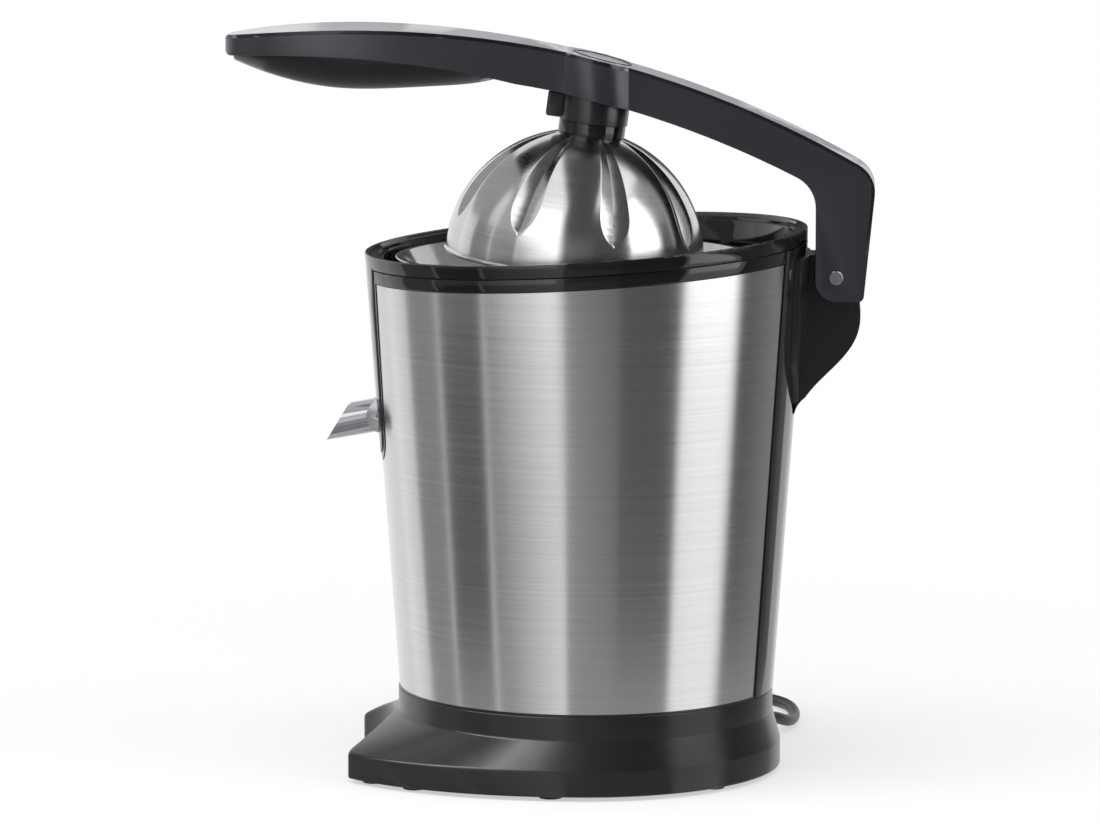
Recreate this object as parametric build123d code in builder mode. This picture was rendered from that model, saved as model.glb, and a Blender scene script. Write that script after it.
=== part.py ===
from build123d import *
import os
from math import acos, asin, atan2, ceil, cos, degrees, pi, radians, sin, sqrt, tan

os.makedirs("parts", exist_ok=True)

# Lever citrus press with a motor-driven cone. All sizes are in millimetres and
# degrees. +Z is up, the spout and the handle point to -Y, the hinge is at +Y.
# Y values are measured from the body's axis, Z values from the table.

# Overall reach
handle_reach = 156.4  # handle tip in front of the body's axis
elbow_reach = 125.2  # back of the lever behind the body's axis

# Base
foot_h = 1.8
foot_r = 5.2
foot_inset = 9.5
foot_angles = (354, 49, 306, 320)
base_r = 85.2
base_nose = 120.0  # half axis of the drawn-out front
base_band_top = 13.0
base_wall = 2.8
base_roof = 2.6
base_ledge = 3.4  # skirt outside the collar
collar_r = base_r - base_ledge
collar_foot = 25.8
collar_top = 36.0
collar_wall = 7.2
spigot_wall = 2.4
spigot_h = 6.0
glass_r = 65.5  # round hollow in front, where the glass stands
glass_gap = 2.2  # between the collar and the hollow
glass_y = collar_r + glass_gap + glass_r
horn_round = 2.6
plate_t = 2.2
vent_l = 46.0
vent_w = 3.0
vent_pitch = 9.0
vent_count = 6
fit_gap = 0.3

# Body
body_taper = 4.16
collar_proud = 0.6
wrap_foot_r = collar_r - collar_proud
wrap_t = 0.8
housing_wall = 2.6
rim_z = 232.3  # height of the slanted rim on the body's axis
rim_slant = 3.4
rim_h = 5.5
rim_gap = 0.6
rim_proud = 0.9
rim_lip_w = 2.2
rim_lip_h = 1.3
rim_land_w = 3.6
band_h = 5.5
band_proud = 0.4
panel_half_angle = 23.7
panel_proud = 0.8
body_extra = 20.0  # height above the rim that the slanted cut takes off

# Apron under the rim, and the swivel spout in it
apron_top_half = 29.6
apron_low_half = 21.6
apron_low_z = 139.8
apron_corner = 9.6
apron_t = 2.4
apron_gap = 0.4
border_w = 3.0
spout_sunk = 2.355  # swivel inside the body's surface
spout_z = 155.0
spout_dip = 10.0
spout_r = 7.25
spout_wall = 0.9
spout_lip = 27.4  # lower lip, along the tube from the swivel
spout_brow = 16.5  # upper corner of the mouth
spout_brow_h = 5.1
spout_rise = 30.0  # how far the spout folds up
barrel_r = 7.5
barrel_half = 10.0
socket_wall = 3.2
socket_half = 14.8
spout_pin_r = 2.0
spout_pin_l = 3.0
running = 0.05  # radial play of a shaft in its bore

# Juice bowl
bowl_gap = 1.5
bowl_wall = 2.2
floor_t = 2.2
drain_slope = 9.0
drain_z = 149.2
drain_inset = 5.5  # lowest point of the floor behind the swivel
chimney_r = 12.4
chimney_wall = 2.4
chimney_top = 209.0
rib_t = 2.4
rib_count = 4
deck_gap = 3.0
deck_t = 2.5

# Lever
pivot_inset = 16.6
pivot_y = elbow_reach - pivot_inset
pivot_z = 217.0
pin_r = 3.05
lever_drop = 7.5  # from the photographed pose down to a level bell
peak_inset = 56.4
arm_peak_y = peak_inset - handle_reach
arm_peak_z = 324.0
arm_top_r = 440.0
arm_t = 17.6
arm_half = 13.6
arm_wall = 2.6
handle_half = 23.7
handle_nose = 44.4
handle_taper_end = 12.0
band_mid_inset = 66.4
band_mid_y = band_mid_inset - handle_reach
band_mid_z = arm_peak_z - 13.0
band_tip_z = arm_peak_z - 12.5
band_end_y = -30.0
leg_depth = 25.5
leg_front = elbow_reach - leg_depth
leg_foot_z = 206.6
leg_lean = 5.8
leg_foot_round = 9.0
elbow_round = 14.0
crook_round = 15.0
tip_round = 2.6
slot_rise = 14.5  # top of the fork's slot above the pin
slot_play = 0.4
boss_r = 19.5
cover_t = 1.6
cover_foot_z = 227.0
cover_nose = 3.6  # how far the cover comes down round the tip
cap_r = 12.4
pad_front = handle_reach - 4.0
pad_back = 40.0
pad_inset = 2.2
pad_sunk = 1.2
pad_shares = (0.0, 0.072, 0.2, 0.345, 0.487, 0.74, 1.0)  # along the pad
pad_l = pad_front - pad_back
belly_y = pad_shares[4] * pad_l - pad_front
belly_z = arm_peak_z - 27.1
belly_front_rise = 12.4
belly_back_rise = 4.4

# Hinge bracket
bracket_half = 9.5
bracket_top = 226.6
bracket_inset = 5.2
bracket_back = elbow_reach - bracket_inset
bracket_round = 10.0
rib_curve = ((1.2, 204.6), (6.2, 184.5), (20.2, 169.7))  # set in from the back
flange_t = 2.2
flange_half = 28.5
flange_low_z = 157.0
flange_round = 23.0
bush_wall = 1.5
bush_l = 6.0

# Bell
bell_y = -4.9
bell_z = 223.6
bell_r = 56.2
bell_t = 0.9
bell_skirt = 2.2
bead_r = 1.3
flute_count = 8
flute_phase = 19.0
flute_top = 21.0  # angles from the bell's crown
flute_waist = 43.0
flute_belly = 62.0
flute_end = 77.0
flute_waist_depth = 2.5
flute_depth = 4.3
flute_half_angle = 58.0
flute_reach = 7.0
neck_r = 14.4
neck_drop = 40.4  # neck's end below the arm's highest point
neck_top = arm_peak_z - bell_z - neck_drop
bolt_r = 4.0
bolt_head_r = 7.0
bolt_grip = 16.0
bolt_head_low = neck_top + bolt_grip
bolt_head_h = 5.0
column_r = 11.0
clamp_r = 9.0
clamp_t = 4.6
sleeve_r = 15.0
catch_w = 10.0
catch_gap = 0.4
catch_low = neck_top + catch_gap
catch_play = 0.8
catch_reach = 20.6
catch_depth = 10.0
catch_travel = 2.8
catch_round = 1.2

# Strainer and cone
sieve_gap = 5.04  # between the strainer and the front of the bowl
sieve_lip_z = 225.0
sieve_floor_z = 203.0
sieve_flare = 16.0
sieve_t = 0.8
sieve_lip_w = 3.2
sieve_edge = 1.6
sieve_round = 0.7
sieve_collar = 4.5
sieve_hole_r = 14.0
sieve_slots = 24
sieve_slot_w = 2.0
sieve_slot_l = 22.0
sieve_slot_r = 45.0
cone_r = 41.0
cone_foot_z = 206.0
cone_tip_z = 256.0
cone_tip_r = 4.0
cone_draft = 8.0  # lean of the cone's side at its foot
cone_blunt = 0.4
cone_wall = 4.0
cone_hub_r = 8.5
cone_grooves = 10
groove_r = 9.5
groove_taper = 7.5
groove_lead = 8.0

# Drive
shaft_r = 4.0
shaft_foot_z = 112.0
hex_flat = 6.9
hex_foot_z = 214.0
hex_top_z = 238.0
press_travel = 2.0
pinion_teeth = 12
wheel_teeth = 48
fast_module = 1.0
slow_module = 1.25
pressure_angle = 20.0
backlash = 0.24
gear_addendum = 0.8
gear_dedendum = 1.05
motor_back = 48.0  # motor axis behind the cone's axis
gear_plate_z = 104.0
gear_plate_t = 4.0
gear_plate_gap = 1.8
gear_plate_r = wrap_foot_r - wrap_t - housing_wall - gear_plate_gap
gearbox_r = 64.5
gearbox_wall = 2.2
gearbox_top = 140.0
fast_z = 111.0
fast_w = 8.0
slow_z = 121.5
slow_w = 10.0
axle_r = 3.0
post_r = 4.0
post_gap = 1.5
post_circle = gearbox_r + post_gap + post_r
bush_r = 7.0
lower_bush_z = 136.0
lower_bush_h = 10.0
upper_bush_z = 188.0
tower_r = 9.4
tower_top = 203.0
tower_bore = 5.5
seal_h = 2.4
cup_stem_r = 5.4
cup_flange_r = 8.0
cup_flange_z = 116.0
cup_flange_h = 2.5
cup_foot_z = 100.0
spring_wire = 1.0
spring_mean_r = 6.7
spring_quarter_count = 16
switch_l = 20.0
switch_w = 10.0
switch_low = 84.0
switch_top = 96.0
switch_lug = 3.0
button_r = 2.0
motor_r = 24.0
motor_wall = 1.6
motor_foot = 48.0
motor_shaft_r = 2.5
motor_shaft_foot = 40.0
rotor_r = 16.0
rotor_low = 60.0
rotor_high = 92.0
rotor_slots = 12
rotor_slot_w = 2.4
magnet_gap = 0.8
motor_bush_r = 5.0
motor_bush_h = 6.0
fan_r = 19.0
fan_h = 6.0
fan_blades = 8
blade_t = 1.4

# Mains cord: it leaves the base behind and lies coiled on the table
cord_r = 2.6
cord_rest = 0.02
bend_share = 0.45  # part of the shorter run that a bend takes up
gland_angle = 132.0
gland_z = 9.2
gland_r = 3.7
gland_tip_r = 3.1
gland_in = 8.0
gland_collar = 3.0
gland_l = 11.0
lead_first = 9.0
lead_last = 15.0
lead_bends = (
    (-84.0, 87.2, 4.6),
    (-102.0, 89.8, cord_r + cord_rest),
    (-122.0, 89.8, cord_r + cord_rest),
    (-142.0, 85.0, cord_r + cord_rest),
    (-157.0, 71.0, cord_r + cord_rest),
)
coil_x = -130.0
coil_y = 25.0
coil_r = 34.0
coil_pitch = 5.8
coil_pitch_out = 6.6
coil_dip = 1.0  # the climbing half turn runs a little further in
coil_layer = 5.8
coil_in_count = 8
coil_out_count = 6
tail_runs = (18.0, 20.0, 16.0)
plug_l = 34.0
plug_front_w = 30.0
plug_back_w = 11.0
plug_back_h = 9.0
plug_h = 13.7
plug_round = 2.4
plug_pin_r = 2.0
plug_pin_l = 19.0
plug_pin_gap = 18.6


def body_r(z):
    """Radius of the tapered body at a height."""
    return wrap_foot_r + (z - collar_top) * tan(radians(body_taper))


# Working planes, all through the body's axis
axis_y = (handle_reach - elbow_reach) / 2
plan = Plane((0, axis_y, 0))
side = Plane((0, axis_y, 0), x_dir=(0, 1, 0), z_dir=(1, 0, 0))
front = Plane((0, axis_y, 0), x_dir=(1, 0, 0), z_dir=(0, -1, 0))
rear = Plane((0, axis_y, 0), x_dir=(-1, 0, 0), z_dir=(0, 1, 0))
body_axis = Axis((0, axis_y, 0), (0, 0, 1))
slant = radians(rim_slant)
rim = Plane((0, axis_y, rim_z), x_dir=(1, 0, 0), z_dir=(0, -sin(slant), cos(slant)))
rim_side = Plane(rim.origin, x_dir=rim.y_dir, z_dir=(1, 0, 0))
spout_y = body_r(spout_z) - spout_sunk
drain = Plane(
    (0, axis_y + drain_inset - spout_y, drain_z),
    x_dir=(1, 0, 0),
    z_dir=(0, -sin(radians(drain_slope)), cos(radians(drain_slope))),
)

# The cone stands where the bell comes down level over it
drop = radians(lever_drop)
press_y = pivot_y + (bell_y - pivot_y) * cos(drop) - (bell_z - pivot_z) * sin(drop)
press_axis = Axis((0, axis_y + press_y, 0), (0, 0, 1))
press_side = Plane((0, axis_y + press_y, 0), x_dir=(0, 1, 0), z_dir=(1, 0, 0))
bell_side = Plane(
    (0, axis_y + bell_y, bell_z), x_dir=(0, cos(drop), -sin(drop)), z_dir=(1, 0, 0)
)
bell_plane = Plane(bell_side.origin, x_dir=(1, 0, 0), z_dir=bell_side.y_dir)
bell_axis = Axis(bell_side.origin, bell_side.y_dir)

body_high = rim_z + body_extra
bowl_out = -(wrap_t + housing_wall + bowl_gap)
bowl_in = bowl_out - bowl_wall
rim_low = -(rim_h + rim_gap)
socket_back = spout_y - barrel_r - socket_wall
sieve_r = body_r(sieve_lip_z) + bowl_in + press_y - sieve_gap
sieve_floor_r = sieve_r - sieve_flare
rib_reach = sieve_r - 3 * sieve_t


def cone_block(offset, low, high):
    """Solid that follows the body's taper, grown outwards by an offset."""
    with BuildPart() as block:
        with BuildSketch(side):
            with BuildLine():
                Polyline(
                    (0, low),
                    (body_r(low) + offset, low),
                    (body_r(high) + offset, high),
                    (0, high),
                    close=True,
                )
            make_face()
        revolve(axis=body_axis)
    return block.part


def cone_ring(outer, inner, low, high):
    """Ring that follows the body's taper between two offsets."""
    with BuildPart() as ring:
        with BuildSketch(side):
            with BuildLine():
                Polyline(
                    (body_r(low) + inner, low),
                    (body_r(low) + outer, low),
                    (body_r(high) + outer, high),
                    (body_r(high) + inner, high),
                    close=True,
                )
            make_face()
        revolve(axis=body_axis)
    return ring.part


def apron_prism(grow, start=0.0):
    """Block in front of the body with the apron's outline, grown by an offset."""
    flare = (apron_top_half - apron_low_half) / (rim_z - apron_low_z)
    low_half = apron_low_half + grow
    high_half = low_half + (body_high - apron_low_z) * flare
    with BuildPart() as prism:
        with BuildSketch(front.offset(start)) as outline:
            with BuildLine():
                Polyline(
                    (-low_half, apron_low_z - grow),
                    (low_half, apron_low_z - grow),
                    (high_half, body_high),
                    (-high_half, body_high),
                    close=True,
                )
            make_face()
            fillet(outline.vertices().group_by(Axis.Y)[0], apron_corner + grow)
        extrude(amount=2 * base_r)
    return prism.part


def rear_sector(gap):
    """Wedge behind the body's axis as wide as the rear panel, plus a gap."""
    reach = 2 * base_r
    half = reach * tan(radians(panel_half_angle)) + gap
    with BuildPart() as wedge:
        with BuildSketch(plan):
            Polygon((0, 0), (half, reach), (-half, reach), align=None)
        extrude(amount=body_high)
    return wedge.part


def base_face(z, inset):
    """Plan outline of the base: round behind and drawn out in front."""
    with BuildSketch(plan.offset(z)) as outline:
        with BuildLine():
            CenterArc((0, 0), base_r - inset, 0, 180)
            EllipticalCenterArc(
                (0, 0), base_r - inset, base_nose - inset, 180, arc_size=180
            )
        make_face()
    return outline.sketch


def base_plan(z, inset):
    """The base's outline with the hollow for the glass and rounded horn tips."""
    with BuildSketch(plan.offset(z)) as outline:
        add(base_face(0, inset).moved(Location((0, -axis_y, 0))))
        with Locations((0, -glass_y)):
            Circle(glass_r + inset, mode=Mode.SUBTRACT)
        fillet(outline.vertices().sort_by(Axis.Y)[:2], horn_round)
    return outline.sketch


def round_bar(r, low, high, y=0.0, x=0.0):
    """Upright cylinder between two heights."""
    with BuildPart() as bar:
        with BuildSketch(plan.offset(low)):
            with Locations((x, y)):
                Circle(r)
        extrude(amount=high - low)
    return bar.part


def tube(r_out, r_in, low, high, y=0.0, x=0.0):
    """Upright tube between two heights."""
    with BuildPart() as pipe:
        with BuildSketch(plan.offset(low)):
            with Locations((x, y)):
                Circle(r_out)
                Circle(r_in, mode=Mode.SUBTRACT)
        extrude(amount=high - low)
    return pipe.part


# Base shell: a low skirt with two horns round the glass, and a collar for the body
with BuildPart() as base_shell:
    extrude(base_face(foot_h, 0), amount=base_band_top - foot_h)
    with BuildSketch(plan.offset(collar_foot)) as collar_outline:
        with BuildLine():
            CenterArc((0, 0), collar_r, 0, 180)
            CenterArc((0, 0), collar_r, 180, 180)
        make_face()
    loft([base_face(base_band_top, 0).face(), collar_outline.sketch.face()], ruled=True)
    with BuildSketch(plan.offset(collar_foot)):
        Circle(collar_r)
    extrude(amount=collar_top - collar_foot)
    extrude(base_plan(foot_h, 0), amount=collar_top, mode=Mode.INTERSECT)
    pocket_h = base_band_top - base_roof - foot_h
    extrude(base_plan(foot_h, base_wall), amount=pocket_h, mode=Mode.SUBTRACT)
    add(round_bar(collar_r - collar_wall, foot_h, collar_top), mode=Mode.SUBTRACT)
    spigot_r = collar_r - collar_wall + spigot_wall
    add(tube(spigot_r, collar_r - collar_wall, collar_foot, collar_top + spigot_h))
    gland_dir = (cos(radians(gland_angle)), sin(radians(gland_angle)))
    gland_side = Plane(
        (0, axis_y, gland_z), x_dir=(0, 0, 1), z_dir=(gland_dir[0], gland_dir[1], 0)
    )
    with BuildSketch(gland_side.offset(base_r - gland_in - base_wall)):
        Circle(gland_r)
    extrude(amount=gland_in + 2 * base_wall, mode=Mode.SUBTRACT)
base_shell.part.label = "base_shell"
export_step(base_shell.part, "parts/base_shell.step")

# Bottom plate inside the skirt, with cooling slots under the motor
with BuildPart() as bottom_plate:
    extrude(base_plan(foot_h, base_wall + fit_gap), amount=plate_t)
    with BuildSketch(plan.offset(foot_h)):
        with Locations((0, press_y + motor_back)):
            with GridLocations(0, vent_pitch, 1, vent_count):
                SlotOverall(vent_l, vent_w)
    extrude(amount=plate_t, mode=Mode.SUBTRACT)
bottom_plate.part.label = "bottom_plate"
export_step(bottom_plate.part, "parts/bottom_plate.step")


def foot_place(angle):
    """A foot's centre, set in from the base's outline."""
    nose = base_r if sin(radians(angle)) > 0 else base_nose
    return (
        (base_r - foot_inset) * cos(radians(angle)),
        (nose - foot_inset) * sin(radians(angle)),
    )


# Rubber feet in pairs along both sides
with BuildPart() as rubber_feet:
    with BuildSketch(plan):
        for foot_angle in foot_angles:
            foot_x, foot_y = foot_place(foot_angle)
            with Locations((foot_x, foot_y), (-foot_x, foot_y)):
                Circle(foot_r)
    extrude(amount=foot_h)
rubber_feet.part.label = "rubber_feet"
export_step(rubber_feet.part, "parts/rubber_feet.step")

# Inner housing: tapered wall, slanted top, deck under the bowl, tower for the shaft
deck_top = drain.offset(-(floor_t + deck_gap))
deck_foot = drain.offset(-(floor_t + deck_gap + deck_t))
with BuildPart() as deck_block:
    add(cone_block(-wrap_t, apron_low_z - spout_r, rim_z))
    split(bisect_by=deck_top, keep=Keep.BOTTOM)
    split(bisect_by=deck_foot, keep=Keep.TOP)
with BuildPart() as plate_posts:
    with BuildSketch(plan.offset(gear_plate_z + gear_plate_t)):
        with PolarLocations(post_circle, 4, start_angle=45):
            Circle(post_r)
    extrude(amount=rim_z - gear_plate_z)
    split(bisect_by=deck_foot.offset(deck_t / 2), keep=Keep.BOTTOM)
with BuildPart() as tower:
    add(round_bar(tower_r, gearbox_top, tower_top, press_y))
    split(bisect_by=deck_foot, keep=Keep.TOP)
with BuildPart() as body_housing:
    add(cone_ring(-wrap_t, -wrap_t - housing_wall, collar_top, body_high))
    split(bisect_by=rim.offset(-rim_h), keep=Keep.BOTTOM)
    add(deck_block.part)
    add(plate_posts.part)
    add(apron_prism(apron_gap, socket_back - fit_gap), mode=Mode.SUBTRACT)
    add(tower.part)
    add(round_bar(tower_bore, gearbox_top, tower_top, press_y), mode=Mode.SUBTRACT)
    add(round_bar(bush_r, upper_bush_z, tower_top, press_y), mode=Mode.SUBTRACT)
body_housing.part.label = "body_housing"
export_step(body_housing.part, "parts/body_housing.step")

# Brushed steel sheet round the housing, open behind and cut out round the apron
band_foot = rim.offset(rim_low - band_h)
with BuildPart() as steel_wrap:
    add(cone_ring(0, -wrap_t, collar_top + fit_gap, body_high))
    split(bisect_by=band_foot.offset(-fit_gap), keep=Keep.BOTTOM)
    add(apron_prism(apron_gap + border_w), mode=Mode.SUBTRACT)
    add(rear_sector(fit_gap), mode=Mode.SUBTRACT)
steel_wrap.part.label = "steel_wrap"
export_step(steel_wrap.part, "parts/steel_wrap.step")

# Gloss frame: a band under the rim that turns down along both sides of the apron
with BuildPart() as frame_window:
    add(cone_block(band_proud + fit_gap, collar_top, body_high))
    split(bisect_by=band_foot, keep=Keep.BOTTOM)
    add(apron_prism(apron_gap + border_w - fit_gap), mode=Mode.SUBTRACT)
with BuildPart() as trim_frame:
    add(cone_ring(band_proud, -wrap_t, collar_top, body_high))
    split(bisect_by=rim.offset(rim_low), keep=Keep.BOTTOM)
    add(frame_window.part, mode=Mode.SUBTRACT)
    add(apron_prism(apron_gap), mode=Mode.SUBTRACT)
    add(rear_sector(fit_gap), mode=Mode.SUBTRACT)
trim_frame.part.label = "trim_frame"
export_step(trim_frame.part, "parts/trim_frame.step")

# Gloss panel down the back
with BuildPart() as rear_panel:
    add(cone_ring(panel_proud, -wrap_t, collar_top + fit_gap, body_high))
    split(bisect_by=rim.offset(rim_low), keep=Keep.BOTTOM)
    add(rear_sector(-fit_gap), mode=Mode.INTERSECT)
rear_panel.part.label = "rear_panel"
export_step(rear_panel.part, "parts/rear_panel.step")

# Juice bowl: tub with a draining floor, slanted rim, apron and socket for the spout
bowl_r = body_r(rim_z)
rim_r = bowl_r + rim_proud
rim_step = 2 * rim_lip_h
rib_l = 2 * base_r
with BuildPart() as bowl_space:
    add(cone_block(bowl_in, apron_low_z, body_high))
    split(bisect_by=drain, keep=Keep.TOP)
    add(round_bar(chimney_r, apron_low_z, chimney_top, press_y), mode=Mode.SUBTRACT)
    with BuildSketch(plan.offset(apron_low_z)):
        with Locations((0, press_y)):
            with PolarLocations(rib_reach + rib_l / 2, rib_count, start_angle=45):
                Rectangle(rib_l, rib_t)
    extrude(amount=sieve_lip_z - sieve_edge - apron_low_z, mode=Mode.SUBTRACT)
with BuildPart() as apron:
    add(cone_ring(rim_proud, rim_proud - apron_t, apron_low_z, body_high))
    split(bisect_by=rim.offset(-rim_h / 2), keep=Keep.BOTTOM)
    add(apron_prism(0), mode=Mode.INTERSECT)
with BuildPart() as juice_bowl:
    add(cone_block(bowl_out, apron_low_z, body_high))
    split(bisect_by=drain.offset(-floor_t), keep=Keep.TOP)
    split(bisect_by=rim.offset(-rim_step), keep=Keep.BOTTOM)
    add(bowl_space.part, mode=Mode.SUBTRACT)
    with BuildSketch(rim_side) as rim_profile:
        with BuildLine():
            Polyline(
                (rim_r - rim_h * tan(radians(body_taper)), -rim_h),
                (rim_r, 0),
                (rim_r - rim_lip_w, 0),
                (rim_r - rim_lip_w - rim_lip_h / 2, -rim_lip_h),
                (rim_r - rim_lip_w - rim_land_w, -rim_lip_h),
                (rim_r - rim_lip_w - rim_land_w, -rim_step),
                (bowl_r + bowl_in + bowl_wall / 3, -rim_step),
                (bowl_r + bowl_in + bowl_wall / 3, -rim_h),
                close=True,
            )
        make_face()
        fillet(rim_profile.vertices().group_by(Axis.Y)[-1], rim_lip_h / 2)
    revolve(axis=Axis(rim.origin, rim.z_dir))
    add(apron.part)
    apron_mid_r = body_r(spout_z) + rim_proud - apron_t / 2
    socket_front = sqrt(apron_mid_r**2 - socket_half**2)
    with BuildSketch(side):
        with Locations((-(socket_back + socket_front) / 2, spout_z)):
            Rectangle(socket_front - socket_back, 2 * (barrel_r + socket_wall))
    extrude(amount=socket_half, both=True)
    with BuildSketch(side):
        with Locations((-spout_y, spout_z)):
            Circle(barrel_r + fit_gap)
    extrude(amount=barrel_half + fit_gap, both=True, mode=Mode.SUBTRACT)
    with BuildSketch(side):
        with Locations((-spout_y, spout_z)):
            Circle(spout_pin_r)
    extrude(amount=barrel_half + spout_pin_l, both=True, mode=Mode.SUBTRACT)
    lift = radians(spout_rise - spout_dip)
    apron_ahead = body_r(spout_z) + rim_proud - spout_y
    window_high = spout_r / cos(lift) + apron_ahead * tan(lift) + 2 * fit_gap
    with BuildSketch(side):
        with Locations((-spout_y, spout_z + (window_high - barrel_r) / 2)):
            Rectangle(4 * apron_ahead, window_high + barrel_r + 4 * fit_gap)
    extrude(amount=spout_r + 2 * fit_gap, both=True, mode=Mode.SUBTRACT)
    add(
        round_bar(chimney_r - chimney_wall, apron_low_z, chimney_top, press_y),
        mode=Mode.SUBTRACT,
    )
    dip = radians(spout_dip)
    spout_dir = (0, -cos(dip), -sin(dip))
    spout_at = (0, axis_y - spout_y, spout_z)
    spout_side = Plane(spout_at, x_dir=spout_dir, z_dir=(-1, 0, 0))
    spout_plane = Plane(spout_at, x_dir=(1, 0, 0), z_dir=spout_dir)
    with BuildSketch(spout_plane):
        Circle(spout_r - spout_wall)
    extrude(amount=-2 * barrel_r, mode=Mode.SUBTRACT)
juice_bowl.part.label = "juice_bowl"
export_step(juice_bowl.part, "parts/juice_bowl.step")

# Spout: steel tube on a swivel barrel, its mouth cut aslant with a rounded brow
mouth_slope = (spout_lip - spout_brow) / (spout_r + spout_brow_h)
with BuildPart() as spout:
    with BuildSketch(spout_plane):
        Circle(spout_r)
    extrude(amount=spout_lip)
    with BuildSketch(spout_side):
        Circle(barrel_r)
    extrude(amount=barrel_half, both=True)
    with BuildSketch(spout_plane.offset(-2 * barrel_r)):
        Circle(spout_r - spout_wall)
    extrude(amount=2 * barrel_r + spout_lip, mode=Mode.SUBTRACT)
    with BuildSketch(spout_side):
        with BuildLine():
            under = (spout_lip + spout_r * mouth_slope, -2 * spout_r)
            brow = (spout_brow, spout_brow_h)
            over = (spout_brow - spout_r, spout_r + fit_gap)
            Line(under, brow)
            TangentArc(brow, over, tangent=(-mouth_slope, 1))
            Polyline(
                over,
                (over[0], 2 * spout_r),
                (2 * spout_lip, 2 * spout_r),
                (2 * spout_lip, -2 * spout_r),
                under,
            )
        make_face()
    extrude(amount=2 * spout_r, both=True, mode=Mode.SUBTRACT)
    for pin_end in (-1, 1):
        with BuildSketch(spout_side.offset(pin_end * barrel_half)):
            Circle(spout_pin_r + running)
        extrude(amount=-pin_end * spout_pin_l, mode=Mode.SUBTRACT)
spout.part.label = "spout"
export_step(spout.part, "parts/spout.step")

# Two stub pins that the spout swivels on
with BuildPart() as spout_pins:
    for pin_end in (-1, 1):
        with BuildSketch(side.offset(pin_end * (barrel_half + spout_pin_l))):
            with Locations((-spout_y, spout_z)):
                Circle(spout_pin_r)
        extrude(amount=-pin_end * (2 * spout_pin_l - fit_gap))
spout_pins.part.label = "spout_pins"
export_step(spout_pins.part, "parts/spout_pins.step")

# Strainer: pressed steel dish with a rolled edge that hangs on the bowl's ribs
with BuildPart() as sieve:
    with BuildSketch(press_side) as sieve_profile:
        with BuildLine():
            Polyline(
                (sieve_hole_r, sieve_floor_z + sieve_collar),
                (sieve_hole_r + sieve_t, sieve_floor_z + sieve_collar),
                (sieve_hole_r + sieve_t, sieve_floor_z),
                (sieve_floor_r, sieve_floor_z),
                (sieve_r - sieve_lip_w, sieve_lip_z),
                (sieve_r, sieve_lip_z),
                (sieve_r, sieve_lip_z - sieve_edge),
                (sieve_r - sieve_t, sieve_lip_z - sieve_edge),
                (sieve_r - sieve_t, sieve_lip_z - sieve_t),
                (sieve_r - sieve_lip_w + sieve_t / 2, sieve_lip_z - sieve_t),
                (sieve_floor_r + sieve_t / 2, sieve_floor_z - sieve_t),
                (sieve_hole_r, sieve_floor_z - sieve_t),
                close=True,
            )
        make_face()
        lip_top = sieve_profile.vertices().sort_by_distance((sieve_r, sieve_lip_z))[0]
        fillet(lip_top, sieve_round)
    revolve(axis=press_axis)
    with BuildSketch(plan.offset(sieve_floor_z - sieve_t)):
        with Locations((0, press_y)):
            with PolarLocations(sieve_slot_r, sieve_slots):
                SlotOverall(sieve_slot_l, sieve_slot_w)
    extrude(amount=sieve_t, mode=Mode.SUBTRACT)
sieve.part.label = "sieve"
export_step(sieve.part, "parts/sieve.step")

# Cone: hollow ogive with tapering grooves that leave sharp ridges
cone_shoulder = cone_foot_z + 2 * sieve_t
cone_slope = Vector(0, cone_tip_r - cone_r, cone_tip_z - cone_foot_z)
groove_at = (0, axis_y + press_y + cone_r + groove_r / 2, cone_foot_z)
groove_plane = Plane(groove_at, x_dir=(1, 0, 0), z_dir=cone_slope)
with BuildPart() as groove:
    with BuildSketch(groove_plane.offset(-groove_lead)):
        groove_w = sqrt(2) * (groove_r + groove_lead * tan(radians(groove_taper)))
        Rectangle(groove_w, groove_w, rotation=45)
    extrude(amount=cone_slope.length + groove_lead, taper=groove_taper)
with BuildPart() as reamer_cone:
    with BuildSketch(press_side):
        with BuildLine():
            brim = (cone_r, cone_shoulder)
            top = (0, cone_tip_z)
            Polyline(top, (0, cone_foot_z), (cone_r, cone_foot_z), brim)
            Spline(
                brim,
                top,
                tangents=((-sin(radians(cone_draft)), cos(radians(cone_draft))), (-1, 0)),
                tangent_scalars=(1, cone_blunt),
            )
        make_face()
    revolve(axis=press_axis)
    for groove_index in range(cone_grooves):
        turn = (groove_index + 0.5) * 360 / cone_grooves
        add(groove.part.rotate(press_axis, turn), mode=Mode.SUBTRACT)
    with BuildSketch(press_side):
        Polygon(
            (0, cone_foot_z),
            (cone_r - groove_r - cone_wall / 2, cone_foot_z),
            (2 * cone_hub_r, hex_top_z - cone_wall),
            (cone_hub_r, hex_top_z - cone_wall),
            (cone_hub_r, hex_foot_z),
            (0, hex_foot_z),
            align=None,
        )
    revolve(axis=press_axis, mode=Mode.SUBTRACT)
    with BuildSketch(plan.offset(hex_foot_z)):
        with Locations((0, press_y)):
            RegularPolygon(hex_flat / 2, 6, major_radius=False)
    extrude(amount=hex_top_z - hex_foot_z, mode=Mode.SUBTRACT)
reamer_cone.part.label = "reamer_cone"
export_step(reamer_cone.part, "parts/reamer_cone.step")

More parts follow.
